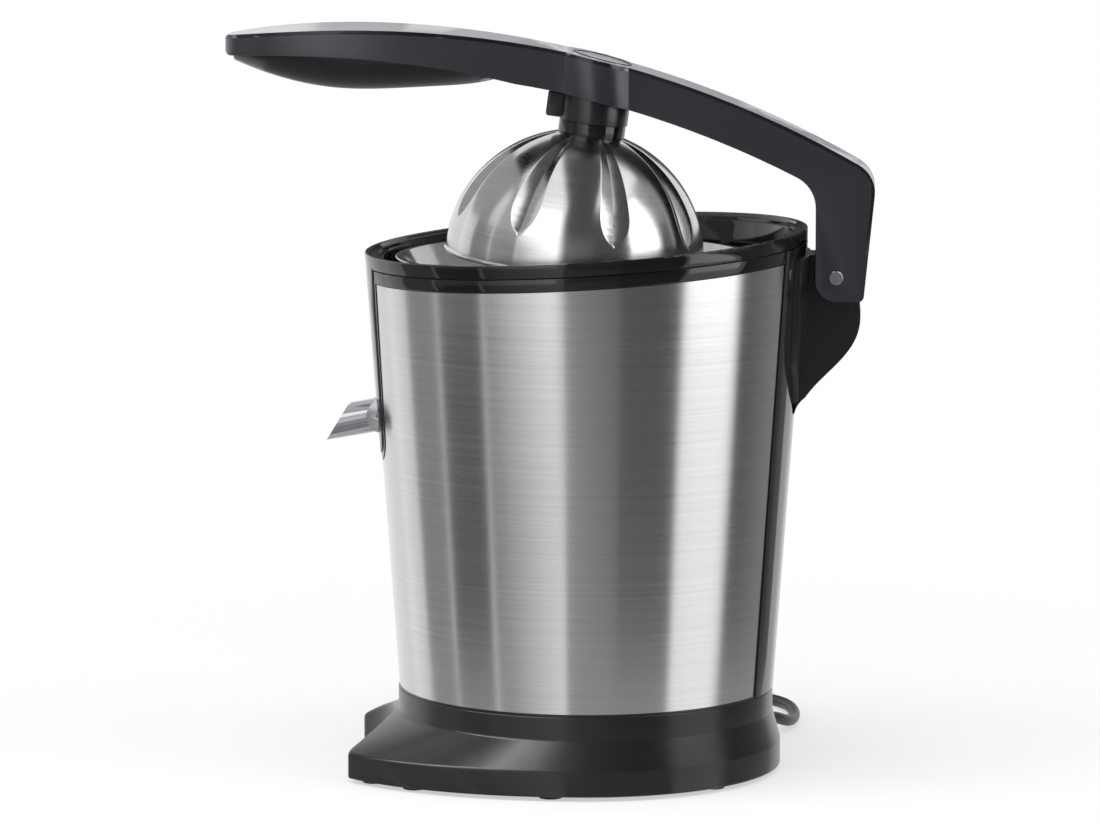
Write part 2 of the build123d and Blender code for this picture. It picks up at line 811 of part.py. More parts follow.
# Hinge bracket: shield-shaped flange on the rear panel with a curved rib
with BuildPart() as flange:
    add(cone_ring(panel_proud + flange_t, panel_proud, flange_low_z, body_high))
    split(bisect_by=rim.offset(rim_low), keep=Keep.BOTTOM)
    with BuildSketch(rear) as shield:
        with Locations((0, flange_low_z)):
            Rectangle(
                2 * flange_half, bracket_top - flange_low_z, align=(Align.CENTER, Align.MIN)
            )
        fillet(shield.vertices().group_by(Axis.Y)[0], flange_round)
    extrude(amount=2 * base_r, mode=Mode.INTERSECT)
with BuildPart() as hinge_bracket:
    with BuildSketch(side) as rib_profile:
        with BuildLine():
            rib_front = body_r(flange_low_z) - housing_wall
            rib_tail = body_r(flange_low_z) + panel_proud + flange_t / 2
            rib_points = [(bracket_back - inset, z) for inset, z in rib_curve]
            Polyline(
                (rib_tail, flange_low_z),
                (rib_front, flange_low_z),
                (rib_front, bracket_top),
                (bracket_back, bracket_top),
                rib_points[0],
            )
            Spline(*rib_points, (rib_tail, flange_low_z))
        make_face()
        rib_corner = rib_profile.vertices().sort_by_distance((bracket_back, bracket_top))[0]
        fillet(rib_corner, bracket_round)
    extrude(amount=bracket_half, both=True)
    add(cone_block(panel_proud, collar_top, body_high), mode=Mode.SUBTRACT)
    add(flange.part)
    with BuildSketch(side):
        with Locations((pivot_y, pivot_z)):
            Circle(pin_r + bush_wall)
    extrude(amount=bracket_half, both=True, mode=Mode.SUBTRACT)
hinge_bracket.part.label = "hinge_bracket"
export_step(hinge_bracket.part, "parts/hinge_bracket.step")

# Bronze bushes in the bracket and the steel pin through them
with BuildPart() as hinge_bushes:
    for bush_end in (-1, 1):
        with BuildSketch(side.offset(bush_end * bracket_half)):
            with Locations((pivot_y, pivot_z)):
                Circle(pin_r + bush_wall)
                Circle(pin_r, mode=Mode.SUBTRACT)
        extrude(amount=-bush_end * bush_l)
hinge_bushes.part.label = "hinge_bushes"
export_step(hinge_bushes.part, "parts/hinge_bushes.step")

with BuildPart() as hinge_pin:
    with BuildSketch(side):
        with Locations((pivot_y, pivot_z)):
            Circle(pin_r)
    extrude(amount=arm_half + fit_gap, both=True)
    chamfer(hinge_pin.edges().filter_by(GeomType.CIRCLE), fit_gap)
hinge_pin.part.label = "hinge_pin"
export_step(hinge_pin.part, "parts/hinge_pin.step")

# Lever outline: the top and underside of the arm are concentric arcs
arm_low_r = arm_top_r - arm_t
arm_centre = (arm_peak_y, arm_peak_z - arm_top_r)
lean = radians(leg_lean)
elbow_turn = pi / 2 - asin((elbow_reach - arm_peak_y) / arm_top_r) + lean
corner_y = elbow_reach + elbow_round * (tan(elbow_turn / 2) * sin(lean) + cos(lean) - 1)
nose_y = handle_nose - handle_reach
boss_y = bell_y + bolt_head_low * sin(drop)
slot_top = pivot_z + slot_rise


def arc_z(r, y):
    return arm_centre[1] + sqrt(r**2 - (y - arm_peak_y) ** 2)


def lever_prism(inset):
    """Upright block with the lever's plan: broad rounded handle, narrow arm."""
    nose_half = handle_half - inset
    arm_side = arm_half - inset
    tail_y = elbow_reach + elbow_round
    with BuildPart() as prism:
        with BuildSketch(plan.offset(flange_low_z)):
            with BuildLine():
                EllipticalCenterArc(
                    (0, nose_y), nose_half, handle_nose - inset, 180, arc_size=180
                )
                Spline(
                    (nose_half, nose_y),
                    (arm_side, handle_taper_end),
                    tangents=((0, 1), (0, 1)),
                )
                Polyline(
                    (arm_side, handle_taper_end),
                    (arm_side, tail_y),
                    (-arm_side, tail_y),
                    (-arm_side, handle_taper_end),
                )
                Spline(
                    (-arm_side, handle_taper_end),
                    (-nose_half, nose_y),
                    tangents=((0, -1), (0, -1)),
                )
            make_face()
            with Locations((0, boss_y)):
                Circle(boss_r - inset)
        extrude(amount=arm_peak_z)
    return prism.part


corner = (corner_y, arc_z(arm_top_r, corner_y))
foot_back = (corner_y - (corner[1] - leg_foot_z) * tan(lean), leg_foot_z)
crook = (leg_front, arc_z(arm_low_r, leg_front))
band_end = (band_end_y, arc_z(arm_low_r, band_end_y))
tip = (-handle_reach, arc_z(arm_top_r, -handle_reach))
tip_low = (-handle_reach, band_tip_z)
with BuildSketch(side) as arm_outline:
    with BuildLine():
        ThreePointArc(tip, (0, arc_z(arm_top_r, 0)), corner)
        Polyline(corner, foot_back, (leg_front, leg_foot_z), crook)
        ThreePointArc(crook, (band_end_y / 2, arc_z(arm_low_r, band_end_y / 2)), band_end)
        ThreePointArc(band_end, (band_mid_y, band_mid_z), tip_low)
        Line(tip_low, tip)
    make_face()
    for bend, bend_r in (
        (corner, elbow_round),
        (crook, crook_round),
        ((leg_front, leg_foot_z), leg_foot_round),
        (foot_back, tip_round),
        (tip, tip_round),
        (tip_low, tip_round),
    ):
        fillet(arm_outline.vertices().sort_by_distance(bend)[0], bend_r)
with BuildPart() as lever_solid:
    extrude(arm_outline.sketch, amount=handle_half, both=True)
    add(lever_prism(0), mode=Mode.INTERSECT)

# Cover strip along the top, round the elbow and down the back of the leg
inner_y = corner_y - cover_t / cos(lean)
outside = elbow_reach + 2 * elbow_round
with BuildSketch(side) as cover_core:
    with Locations(arm_centre):
        Circle(arm_top_r - cover_t)
    with BuildLine():
        Polyline(
            (cover_t - handle_reach, leg_foot_z),
            (inner_y - (corner[1] - leg_foot_z) * tan(lean), leg_foot_z),
            (inner_y + elbow_round * tan(lean), corner[1] + elbow_round),
            (inner_y, arm_peak_z + elbow_round),
            (cover_t - handle_reach, arm_peak_z + elbow_round),
            close=True,
        )
    make_face(mode=Mode.INTERSECT)
    inner_bend = cover_core.vertices().sort_by_distance((inner_y, corner[1] - cover_t))[0]
    fillet(inner_bend, elbow_round - cover_t)
    with Locations((leg_front, cover_foot_z)):
        Rectangle(outside, 2 * boss_r, align=(Align.MIN, Align.MAX))
    with Locations((leg_front - handle_reach, tip[1] - cover_nose)):
        Rectangle(outside, 2 * boss_r, align=(Align.MAX, Align.MAX))
with BuildSketch(side) as cover_outline:
    add(arm_outline.sketch_local)
    add(cover_core.sketch_local, mode=Mode.SUBTRACT)
with BuildPart() as cover_strip:
    extrude(cover_outline.sketch, amount=handle_half, both=True)
    add(lever_prism(0), mode=Mode.INTERSECT)
with BuildPart() as cap_bar:
    with BuildSketch(bell_plane.offset(bolt_head_low)):
        Circle(cap_r)
    extrude(amount=2 * boss_r)
with BuildPart() as lever_cover:
    add(cover_strip.part)
    with BuildSketch(bell_plane.offset(bolt_head_low)):
        Circle(cap_r + fit_gap / 2)
    extrude(amount=2 * boss_r, mode=Mode.SUBTRACT)
lever_cover.part.label = "lever_cover"
export_step(lever_cover.part, "parts/lever_cover.step")

# Round cap over the bolt that carries the bell
with BuildPart() as boss_cap:
    add(cover_strip.part)
    add(cap_bar.part, mode=Mode.INTERSECT)
boss_cap.part.label = "boss_cap"
export_step(boss_cap.part, "parts/boss_cap.step")

# Lever: hollow arm with a broad handle and a forked leg on the hinge pin
cavity_front = cover_nose - handle_reach + arm_wall
cavity_back = leg_front - crook_round
with BuildPart() as arm_cavity:
    with BuildSketch(side):
        with BuildLine():
            low_back = (cavity_back, arc_z(arm_low_r + arm_wall, cavity_back))
            low_mid = (band_end_y, arc_z(arm_low_r + arm_wall, band_end_y))
            low_front = (cavity_front, band_tip_z + arm_wall)
            Polyline(
                low_front,
                (cavity_front, arm_peak_z),
                (cavity_back, arm_peak_z),
                low_back,
            )
            ThreePointArc(low_back, (0, arc_z(arm_low_r + arm_wall, 0)), low_mid)
            ThreePointArc(low_mid, (band_mid_y, band_mid_z + arm_wall), low_front)
        make_face()
    extrude(amount=handle_half, both=True)
    add(lever_prism(arm_wall), mode=Mode.INTERSECT)
    with BuildSketch(bell_plane.offset(neck_top)):
        Circle(column_r)
    extrude(amount=2 * boss_r, mode=Mode.SUBTRACT)
with BuildPart() as lever_arm:
    add(lever_solid.part)
    extrude(cover_outline.sketch, amount=handle_half, both=True, mode=Mode.SUBTRACT)
    add(arm_cavity.part, mode=Mode.SUBTRACT)
    with BuildSketch(side):
        with Locations((pivot_y, slot_top)):
            Rectangle(elbow_reach, slot_top, align=(Align.CENTER, Align.MAX))
    extrude(amount=bracket_half + slot_play, both=True, mode=Mode.SUBTRACT)
    with BuildSketch(side):
        with Locations((pivot_y, pivot_z)):
            Circle(pin_r + running)
    extrude(amount=arm_half, both=True, mode=Mode.SUBTRACT)
    with BuildSketch(bell_plane.offset(neck_top)):
        Circle(bolt_r)
    extrude(amount=bolt_head_low - neck_top, mode=Mode.SUBTRACT)
    with BuildSketch(bell_plane.offset(bolt_head_low)):
        Circle(bolt_head_r + fit_gap)
    extrude(amount=2 * boss_r, mode=Mode.SUBTRACT)
lever_arm.part.label = "lever_arm"
export_step(lever_arm.part, "parts/lever_arm.step")


def handle_w(y):
    """Half width of the handle at a place along it."""
    if y < nose_y:
        return handle_half * sqrt(1 - ((nose_y - y) / handle_nose) ** 2)
    part_way = (y - nose_y) / (handle_taper_end - nose_y)
    return handle_half - (handle_half - arm_half) * part_way**2 * (3 - 2 * part_way)


def under_z(y):
    """Height of the handle's underside, a parabola through its three set points."""
    ends = ((-handle_reach, band_tip_z), (band_mid_y, band_mid_z), band_end)
    total = 0
    for i, (yi, zi) in enumerate(ends):
        weight = 1
        for j, (yj, zj) in enumerate(ends):
            if i != j:
                weight *= (y - yj) / (yi - yj)
        total += weight * zi
    return total


def belly(y):
    """Lowest line of the grip pad."""
    reach = pad_front + belly_y if y < belly_y else -pad_back - belly_y
    rise = belly_front_rise if y < belly_y else belly_back_rise
    return belly_z + rise * ((y - belly_y) / reach) ** 2


# Soft grip under the handle, swelling downwards in the palm
with BuildPart() as grip_pad:
    for share in pad_shares:
        station = share * pad_l - pad_front
        pad_half = handle_w(station) - pad_inset
        pad_top = under_z(station) + pad_sunk
        with BuildSketch(front.offset(-station)):
            with BuildLine():
                Line((-pad_half, pad_top), (pad_half, pad_top))
                ThreePointArc((pad_half, pad_top), (0, belly(station)), (-pad_half, pad_top))
            make_face()
    loft()
    add(lever_solid.part, mode=Mode.SUBTRACT)
grip_pad.part.label = "grip_pad"
export_step(grip_pad.part, "parts/grip_pad.step")


def flute_point(angle, depth):
    """Point in the bell's section at an angle from the crown, below the surface."""
    r = bell_r - depth
    return (r * sin(radians(angle)), r * cos(radians(angle)))


def flute_cutter(sink):
    """V-shaped scoop down one side of the bell, moved inwards by a depth."""
    with BuildPart() as cutter:
        with BuildLine(bell_side) as path:
            bow = ThreePointArc(
                flute_point(flute_top, sink - fit_gap),
                flute_point(flute_waist, sink + flute_waist_depth),
                flute_point(flute_belly, sink + flute_depth),
            )
            TangentArc(
                flute_point(flute_belly, sink + flute_depth),
                flute_point(flute_end, sink - bell_t),
                tangent=bow % 1,
            )
        flute_w = flute_reach * tan(radians(flute_half_angle))
        with BuildSketch(Plane(path.line @ 0, x_dir=(1, 0, 0), z_dir=path.line % 0)):
            Polygon((0, 0), (flute_w, -flute_reach), (-flute_w, -flute_reach), align=None)
        sweep(path=path.line)
    return cutter.part


def bell_dome(r, sink):
    """Half ball with a short skirt, cut by all the flutes."""
    cutter = flute_cutter(sink)
    with BuildPart() as dome:
        with BuildSketch(bell_side):
            with BuildLine():
                RadiusArc((0, r), (r, 0), r)
                Polyline((r, 0), (r, -bell_skirt), (0, -bell_skirt), (0, r))
            make_face()
        revolve(axis=bell_axis)
        for flute in range(flute_count):
            turn = flute_phase + flute * 360 / flute_count
            add(cutter.rotate(bell_axis, turn), mode=Mode.SUBTRACT)
    return dome.part


# Press bell: thin steel dome with pressed flutes and a rolled bead round its rim
with BuildPart() as press_bell:
    add(bell_dome(bell_r, 0))
    add(bell_dome(bell_r - bell_t, bell_t), mode=Mode.SUBTRACT)
    with BuildSketch(bell_side):
        with Locations((bell_r - bell_t / 2, -bell_skirt)):
            Circle(bead_r)
    revolve(axis=bell_axis)
    with BuildSketch(bell_plane):
        Circle(bolt_r)
    extrude(amount=2 * bell_r, mode=Mode.SUBTRACT)
press_bell.part.label = "press_bell"
export_step(press_bell.part, "parts/press_bell.step")

# Gloss neck on the bell's crown
with BuildPart() as bell_neck:
    with BuildSketch(bell_side):
        with BuildLine():
            neck_in = (bolt_r, sqrt(bell_r**2 - bolt_r**2))
            neck_out = (neck_r, sqrt(bell_r**2 - neck_r**2))
            RadiusArc(neck_in, neck_out, bell_r)
            Polyline(neck_out, (neck_r, neck_top), (bolt_r, neck_top), neck_in)
        make_face()
    revolve(axis=bell_axis)
bell_neck.part.label = "bell_neck"
export_step(bell_neck.part, "parts/bell_neck.step")

# Nut inside the bell's crown and the bolt up into the arm
with BuildPart() as bell_nut:
    with BuildSketch(bell_side):
        with BuildLine():
            nut_r = bell_r - bell_t
            nut_in = (bolt_r, sqrt(nut_r**2 - bolt_r**2))
            nut_out = (clamp_r, sqrt(nut_r**2 - clamp_r**2))
            RadiusArc(nut_in, nut_out, nut_r)
            Polyline(nut_out, (clamp_r, nut_r - clamp_t), (bolt_r, nut_r - clamp_t), nut_in)
        make_face()
    revolve(axis=bell_axis)
bell_nut.part.label = "bell_nut"
export_step(bell_nut.part, "parts/bell_nut.step")

with BuildPart() as bell_bolt:
    with BuildSketch(bell_plane.offset(nut_r - clamp_t)):
        Circle(bolt_r)
    extrude(amount=bolt_head_low - nut_r + clamp_t)
    with BuildSketch(bell_plane.offset(bolt_head_low)):
        RegularPolygon(bolt_head_r, 6)
    extrude(amount=bolt_head_h)
bell_bolt.part.label = "bell_bolt"
export_step(bell_bolt.part, "parts/bell_bolt.step")

# Sleeve under the arm that the neck snaps into, with a pocket for the catch
with BuildPart() as bell_holder:
    with BuildSketch(bell_plane.offset(neck_top)):
        Circle(sleeve_r)
        Circle(bolt_r, mode=Mode.SUBTRACT)
    extrude(amount=sleeve_r)
    with BuildSketch(side):
        with Locations(arm_centre):
            Circle(arm_low_r)
    extrude(amount=sleeve_r, both=True, mode=Mode.INTERSECT)
    with BuildSketch(bell_side):
        with Locations((catch_travel + fit_gap - catch_depth, neck_top)):
            Rectangle(catch_reach, sleeve_r + catch_reach, align=(Align.MAX, Align.MIN))
    extrude(amount=catch_w / 2 + fit_gap, both=True, mode=Mode.SUBTRACT)
bell_holder.part.label = "bell_holder"
export_step(bell_holder.part, "parts/bell_holder.step")

# Catch in front of the sleeve that lets the bell go when it is pushed in
with BuildPart() as release_button:
    with BuildSketch(bell_side):
        with Locations((-catch_depth, catch_low)):
            Rectangle(catch_reach - catch_depth, sleeve_r + catch_reach, align=(Align.MAX, Align.MIN))
    extrude(amount=catch_w / 2, both=True)
    with BuildSketch(side):
        with Locations(arm_centre):
            Circle(arm_low_r - catch_play)
    extrude(amount=sleeve_r, both=True, mode=Mode.INTERSECT)
    fillet(release_button.faces().sort_by(Axis.Y)[0].edges(), catch_round)
release_button.part.label = "release_button"
export_step(release_button.part, "parts/release_button.step")

# Drive shaft: round in its bearings, six-sided where the cone sits on it
with BuildPart() as drive_shaft:
    add(round_bar(shaft_r, shaft_foot_z + cord_rest, hex_foot_z, press_y))
    with BuildSketch(plan.offset(hex_foot_z)):
        with Locations((0, press_y)):
            RegularPolygon(hex_flat / 2, 6, major_radius=False)
    extrude(amount=hex_top_z - hex_foot_z)
drive_shaft.part.label = "drive_shaft"
export_step(drive_shaft.part, "parts/drive_shaft.step")

# Shaft bearings and the seal above the upper one
with BuildPart() as upper_bush:
    add(tube(bush_r, shaft_r + running, upper_bush_z, tower_top, press_y))
upper_bush.part.label = "upper_bush"
export_step(upper_bush.part, "parts/upper_bush.step")

with BuildPart() as shaft_seal:
    add(tube(bush_r, shaft_r + running, tower_top, tower_top + seal_h, press_y))
shaft_seal.part.label = "shaft_seal"
export_step(shaft_seal.part, "parts/shaft_seal.step")

lower_bush_top = lower_bush_z + lower_bush_h
with BuildPart() as lower_bush:
    add(tube(bush_r, shaft_r + running, lower_bush_z, lower_bush_top, press_y))
lower_bush.part.label = "lower_bush"
export_step(lower_bush.part, "parts/lower_bush.step")

# Gear train: motor pinion, stepped idler and output gear on fixed centres
fast_centres = fast_module * (pinion_teeth + wheel_teeth) / 2
slow_centres = slow_module * (pinion_teeth + wheel_teeth) / 2
idler_along = (slow_centres**2 - fast_centres**2 + motor_back**2) / (2 * motor_back)
idler_x = sqrt(slow_centres**2 - idler_along**2)
idler_y = press_y + idler_along
motor_y = press_y + motor_back
slow_line = degrees(atan2(idler_along, idler_x))
fast_line = degrees(atan2(idler_along - motor_back, idler_x))


def tooth_half(teeth, module, r):
    """Half angle of an involute tooth at a radius, thinned for backlash."""
    pitch_r = module * teeth / 2
    press = radians(pressure_angle)
    roll = acos(min(1, pitch_r * cos(press) / r))
    thinned = pi / (2 * teeth) - backlash / (4 * pitch_r)
    return thinned + tan(press) - press - tan(roll) + roll


def gear(teeth, module, low, high, x, y, phase, bore):
    """Stub-tooth spur gear with one tooth pointing along the phase angle."""
    pitch_r = module * teeth / 2
    tip_r = pitch_r + gear_addendum * module
    root_r = pitch_r - gear_dedendum * module
    flank_r = max(root_r, pitch_r * cos(radians(pressure_angle)))
    mid_r = (flank_r + tip_r) / 2
    with BuildSketch() as tooth:
        with BuildLine():
            upper = []
            lower = []
            for r in (flank_r, mid_r, tip_r):
                half = tooth_half(teeth, module, r)
                upper.append((r * cos(half), r * sin(half)))
                lower.append((r * cos(half), -r * sin(half)))
            sunk = (root_r - module / 2) / flank_r
            low_upper = (sunk * upper[0][0], sunk * upper[0][1])
            low_lower = (sunk * lower[0][0], sunk * lower[0][1])
            ThreePointArc(*lower)
            ThreePointArc(lower[2], (tip_r, 0), upper[2])
            ThreePointArc(*reversed(upper))
            Polyline(upper[0], low_upper, low_lower, lower[0])
        make_face()
    with BuildPart() as wheel:
        with BuildSketch(plan.offset(low)):
            with Locations((x, y)):
                Circle(root_r)
                with PolarLocations(0, teeth, start_angle=phase):
                    add(tooth.sketch)
                Circle(bore, mode=Mode.SUBTRACT)
        extrude(amount=high - low)
    return wheel.part


with BuildPart() as output_gear:
    add(
        gear(wheel_teeth, slow_module, slow_z, slow_z + slow_w, 0, press_y, slow_line, shaft_r)
    )
output_gear.part.label = "output_gear"
export_step(output_gear.part, "parts/output_gear.step")

fast_top = fast_z + fast_w
idler_bore = axle_r + running
wheel_phase = fast_line + 180 + 180 / wheel_teeth
pinion_phase = slow_line + 180 + 180 / pinion_teeth
slow_top = slow_z + slow_w + press_travel
with BuildPart() as idler_gear:
    add(
        gear(wheel_teeth, fast_module, fast_z, fast_top, idler_x, idler_y, wheel_phase, idler_bore)
    )
    add(
        gear(
            pinion_teeth, slow_module, fast_top, slow_top, idler_x, idler_y, pinion_phase, idler_bore
        )
    )
idler_gear.part.label = "idler_gear"
export_step(idler_gear.part, "parts/idler_gear.step")

with BuildPart() as motor_pinion:
    add(
        gear(
            pinion_teeth,
            fast_module,
            fast_z - fit_gap,
            fast_top + fit_gap,
            0,
            motor_y,
            fast_line,
            motor_shaft_r,
        )
    )
motor_pinion.part.label = "motor_pinion"
export_step(motor_pinion.part, "parts/motor_pinion.step")

# Fixed axle of the idler
with BuildPart() as idler_axle:
    add(round_bar(axle_r, gear_plate_z, gearbox_top, idler_y, idler_x))
idler_axle.part.label = "idler_axle"
export_step(idler_axle.part, "parts/idler_axle.step")

# Gear plate on the housing's posts and the cover that closes the gears in
plate_top = gear_plate_z + gear_plate_t
with BuildPart() as gear_plate:
    add(round_bar(gear_plate_r, gear_plate_z, plate_top))
    with BuildSketch(plan.offset(gear_plate_z)):
        with Locations((0, press_y)):
            Circle(cup_stem_r + 2 * running)
        with Locations((0, motor_y)):
            Circle(motor_bush_r + fit_gap)
        with Locations((idler_x, idler_y)):
            Circle(axle_r)
    extrude(amount=gear_plate_t, mode=Mode.SUBTRACT)
gear_plate.part.label = "gear_plate"
export_step(gear_plate.part, "parts/gear_plate.step")

with BuildPart() as gear_cover:
    add(round_bar(gearbox_r, plate_top, gearbox_top))
    add(
        round_bar(gearbox_r - gearbox_wall, plate_top, gearbox_top - gearbox_wall),
        mode=Mode.SUBTRACT,
    )
    add(round_bar(bush_r + gearbox_wall, lower_bush_z, lower_bush_top, press_y))
    add(round_bar(bush_r, lower_bush_z, lower_bush_top, press_y), mode=Mode.SUBTRACT)
    add(round_bar(axle_r, plate_top, gearbox_top, idler_y, idler_x), mode=Mode.SUBTRACT)
gear_cover.part.label = "gear_cover"
export_step(gear_cover.part, "parts/gear_cover.step")

# Thrust cup that carries the shaft and sinks a little when the cone is pressed
cup_top = cup_flange_z + cup_flange_h
with BuildPart() as thrust_cup:
    add(round_bar(cup_stem_r, cup_foot_z, cup_flange_z, press_y))
    add(round_bar(cup_flange_r, cup_flange_z, cup_top, press_y))
    add(round_bar(shaft_r + running, shaft_foot_z, cup_top, press_y), mode=Mode.SUBTRACT)
thrust_cup.part.label = "thrust_cup"
export_step(thrust_cup.part, "parts/thrust_cup.step")

# Switch under the gear plate, and its plunger
with BuildPart() as switch_body:
    with BuildSketch(plan.offset(switch_low)):
        with Locations((0, press_y)):
            Rectangle(switch_l, switch_w)
    extrude(amount=switch_top - switch_low)
    with BuildSketch(plan.offset(switch_top)):
        with Locations((0, press_y)):
            with GridLocations(switch_l - switch_lug, 0, 2, 1):
                Rectangle(switch_lug, switch_w)
    extrude(amount=gear_plate_z - switch_top)
    add(
        round_bar(button_r + running, switch_top - 4 * button_r, switch_top, press_y),
        mode=Mode.SUBTRACT,
    )
switch_body.part.label = "switch_body"
export_step(switch_body.part, "parts/switch_body.step")

with BuildPart() as switch_button:
    add(round_bar(button_r, switch_top - 2 * button_r, cup_foot_z - 2 * running, press_y))
switch_button.part.label = "switch_button"
export_step(switch_button.part, "parts/switch_button.step")

# Motor: can with two magnets, end cap, bushes, and a rotor with shaft and fan
can_in_r = motor_r - motor_wall
with BuildPart() as motor_can:
    add(round_bar(motor_r, motor_foot, gear_plate_z, motor_y))
    add(
        round_bar(can_in_r, motor_foot, gear_plate_z - motor_wall, motor_y),
        mode=Mode.SUBTRACT,
    )
    add(round_bar(motor_bush_r, motor_foot, gear_plate_z, motor_y), mode=Mode.SUBTRACT)
motor_can.part.label = "motor_can"
export_step(motor_can.part, "parts/motor_can.step")

with BuildPart() as motor_cap:
    add(tube(can_in_r, motor_bush_r, motor_foot, motor_foot + 2 * motor_wall, motor_y))
motor_cap.part.label = "motor_cap"
export_step(motor_cap.part, "parts/motor_cap.step")

bush_bore = motor_shaft_r + running
with BuildPart() as motor_bushes:
    add(tube(motor_bush_r, bush_bore, motor_foot, motor_foot + motor_bush_h, motor_y))
    add(tube(motor_bush_r, bush_bore, gear_plate_z - motor_bush_h, gear_plate_z, motor_y))
motor_bushes.part.label = "motor_bushes"
export_step(motor_bushes.part, "parts/motor_bushes.step")

with BuildPart() as motor_magnets:
    add(tube(can_in_r, rotor_r + magnet_gap, rotor_low, rotor_high, motor_y))
    with BuildSketch(plan.offset(rotor_low)):
        with Locations((0, motor_y)):
            Rectangle(rotor_r, 3 * motor_r)
    extrude(amount=rotor_high - rotor_low, mode=Mode.SUBTRACT)
motor_magnets.part.label = "motor_magnets"
export_step(motor_magnets.part, "parts/motor_magnets.step")

with BuildPart() as motor_rotor:
    add(tube(rotor_r, motor_shaft_r, rotor_low, rotor_high, motor_y))
    with BuildSketch(plan.offset(rotor_low)):
        with Locations((0, motor_y)):
            with PolarLocations(rotor_r, rotor_slots):
                SlotOverall(rotor_r, rotor_slot_w)
    extrude(amount=rotor_high - rotor_low, mode=Mode.SUBTRACT)
motor_rotor.part.label = "motor_rotor"
export_step(motor_rotor.part, "parts/motor_rotor.step")

with BuildPart() as motor_shaft:
    add(round_bar(motor_shaft_r, motor_shaft_foot, fast_top + 2 * fit_gap, motor_y))
motor_shaft.part.label = "motor_shaft"
export_step(motor_shaft.part, "parts/motor_shaft.step")

fan_low = motor_shaft_foot + blade_t
with BuildPart() as motor_fan:
    add(round_bar(fan_r, fan_low, fan_low + blade_t, motor_y))
    add(round_bar(motor_bush_r, fan_low, fan_low + fan_h, motor_y))
    with BuildSketch(plan.offset(fan_low)):
        with Locations((0, motor_y)):
            with PolarLocations((fan_r + motor_bush_r) / 2 - blade_t, fan_blades):
                Rectangle(fan_r - motor_bush_r, blade_t)
    extrude(amount=fan_h)
    add(round_bar(motor_shaft_r, fan_low, fan_low + fan_h, motor_y), mode=Mode.SUBTRACT)
motor_fan.part.label = "motor_fan"
export_step(motor_fan.part, "parts/motor_fan.step")


def wound_line(nodes):
    """Smooth run of arcs through nodes, each a place and a heading."""
    for (start, heading), (end, leaving) in zip(nodes, nodes[1:]):
        gap = end - start
        square = 2 * (1 - heading.dot(leaving))
        slope = 2 * gap.dot(heading + leaving)
        reach = gap.dot(gap) / slope
        if square > 1e-9:
            reach = (sqrt(slope**2 + 4 * square * gap.dot(gap)) - slope) / (2 * square)
        joint = (start + end + (heading - leaving) * reach) / 2
        across = (end - leaving * reach) - (start + heading * reach)
        TangentArc(start, joint, tangent=heading)
        TangentArc(joint, end, tangent=across.normalized())


def least_gap(line, r):
    """Smallest free gap between neighbouring turns of a tube along a line."""
    steps = ceil(line.length / r)
    places = [line @ (i / steps) for i in range(steps + 1)]
    apart = ceil(4 * pi)
    gaps = []
    for i, place in enumerate(places):
        gaps += [(place - other).length for other in places[i + apart :]]
    return min(gaps) - 2 * r


# Return spring round the thrust cup's stem
with BuildPart() as return_spring:
    spring_nodes = []
    wire_r = spring_wire / 2
    spring_rise = (cup_flange_z - plate_top - spring_wire) / spring_quarter_count
    for quarter in range(spring_quarter_count + 1):
        turn = quarter * pi / 2
        place = Vector(
            spring_mean_r * cos(turn),
            axis_y + press_y + spring_mean_r * sin(turn),
            plate_top + wire_r + quarter * spring_rise,
        )
        climb = spring_rise / (pi / 2)
        heading = Vector(-spring_mean_r * sin(turn), spring_mean_r * cos(turn), climb)
        spring_nodes.append((place, heading.normalized()))
    with BuildLine() as spring_line:
        wound_line(spring_nodes)
    with BuildSketch(Plane(spring_nodes[0][0], z_dir=spring_nodes[0][1])):
        Circle(wire_r)
    sweep(path=spring_line.wire())
print("spring gap", round(least_gap(spring_line.wire(), wire_r), 3))
return_spring.part.label = "return_spring"
export_step(return_spring.part, "parts/return_spring.step")

# Strain relief where the cord leaves the base
with BuildPart() as cord_gland:
    with BuildSketch(gland_side.offset(base_r - gland_in)):
        Circle(gland_r)
    extrude(amount=gland_in + gland_collar)
    with BuildSketch(gland_side.offset(base_r + gland_collar)):
        Circle(gland_r)
    with BuildSketch(gland_side.offset(base_r + gland_collar + gland_l)):
        Circle(gland_tip_r)
    loft()
cord_gland.part.label = "cord_gland"
export_step(cord_gland.part, "parts/cord_gland.step")

# Coil: in along one layer, up a layer, and out along the next
coil_low = cord_r + cord_rest
coil_turn = coil_in_count + 2
coil_end = coil_turn + coil_out_count
coil_radii = []
coil_heights = []
for quarter in range(coil_end + 1):
    inmost = coil_r - coil_pitch * min(quarter, coil_in_count) / 4
    if quarter > coil_in_count:
        inmost -= coil_dip
    coil_radii.append(inmost + coil_pitch_out * max(0, quarter - coil_turn) / 4)
    layer_share = min(1, max(0, (quarter - coil_in_count) / 2))
    coil_heights.append(coil_low + coil_layer * layer_share)
coil_nodes = []
for quarter in range(coil_end + 1):
    turn = pi + quarter * pi / 2
    before = max(0, quarter - 1)
    after = min(coil_end, quarter + 1)
    step = (after - before) * pi / 2
    swell = (coil_radii[after] - coil_radii[before]) / step
    climb = coil_layer / pi if quarter == coil_in_count + 1 else 0
    r = coil_radii[quarter]
    place = Vector(
        coil_x + r * cos(turn), axis_y + coil_y + r * sin(turn), coil_heights[quarter]
    )
    heading = Vector(
        swell * cos(turn) - r * sin(turn), swell * sin(turn) + r * cos(turn), climb
    )
    coil_nodes.append((place, heading.normalized()))
coil_start = coil_nodes[0][0] - coil_nodes[0][1] * (2 * cord_r)
coil_stop = coil_nodes[-1][0] + coil_nodes[-1][1] * (2 * cord_r)
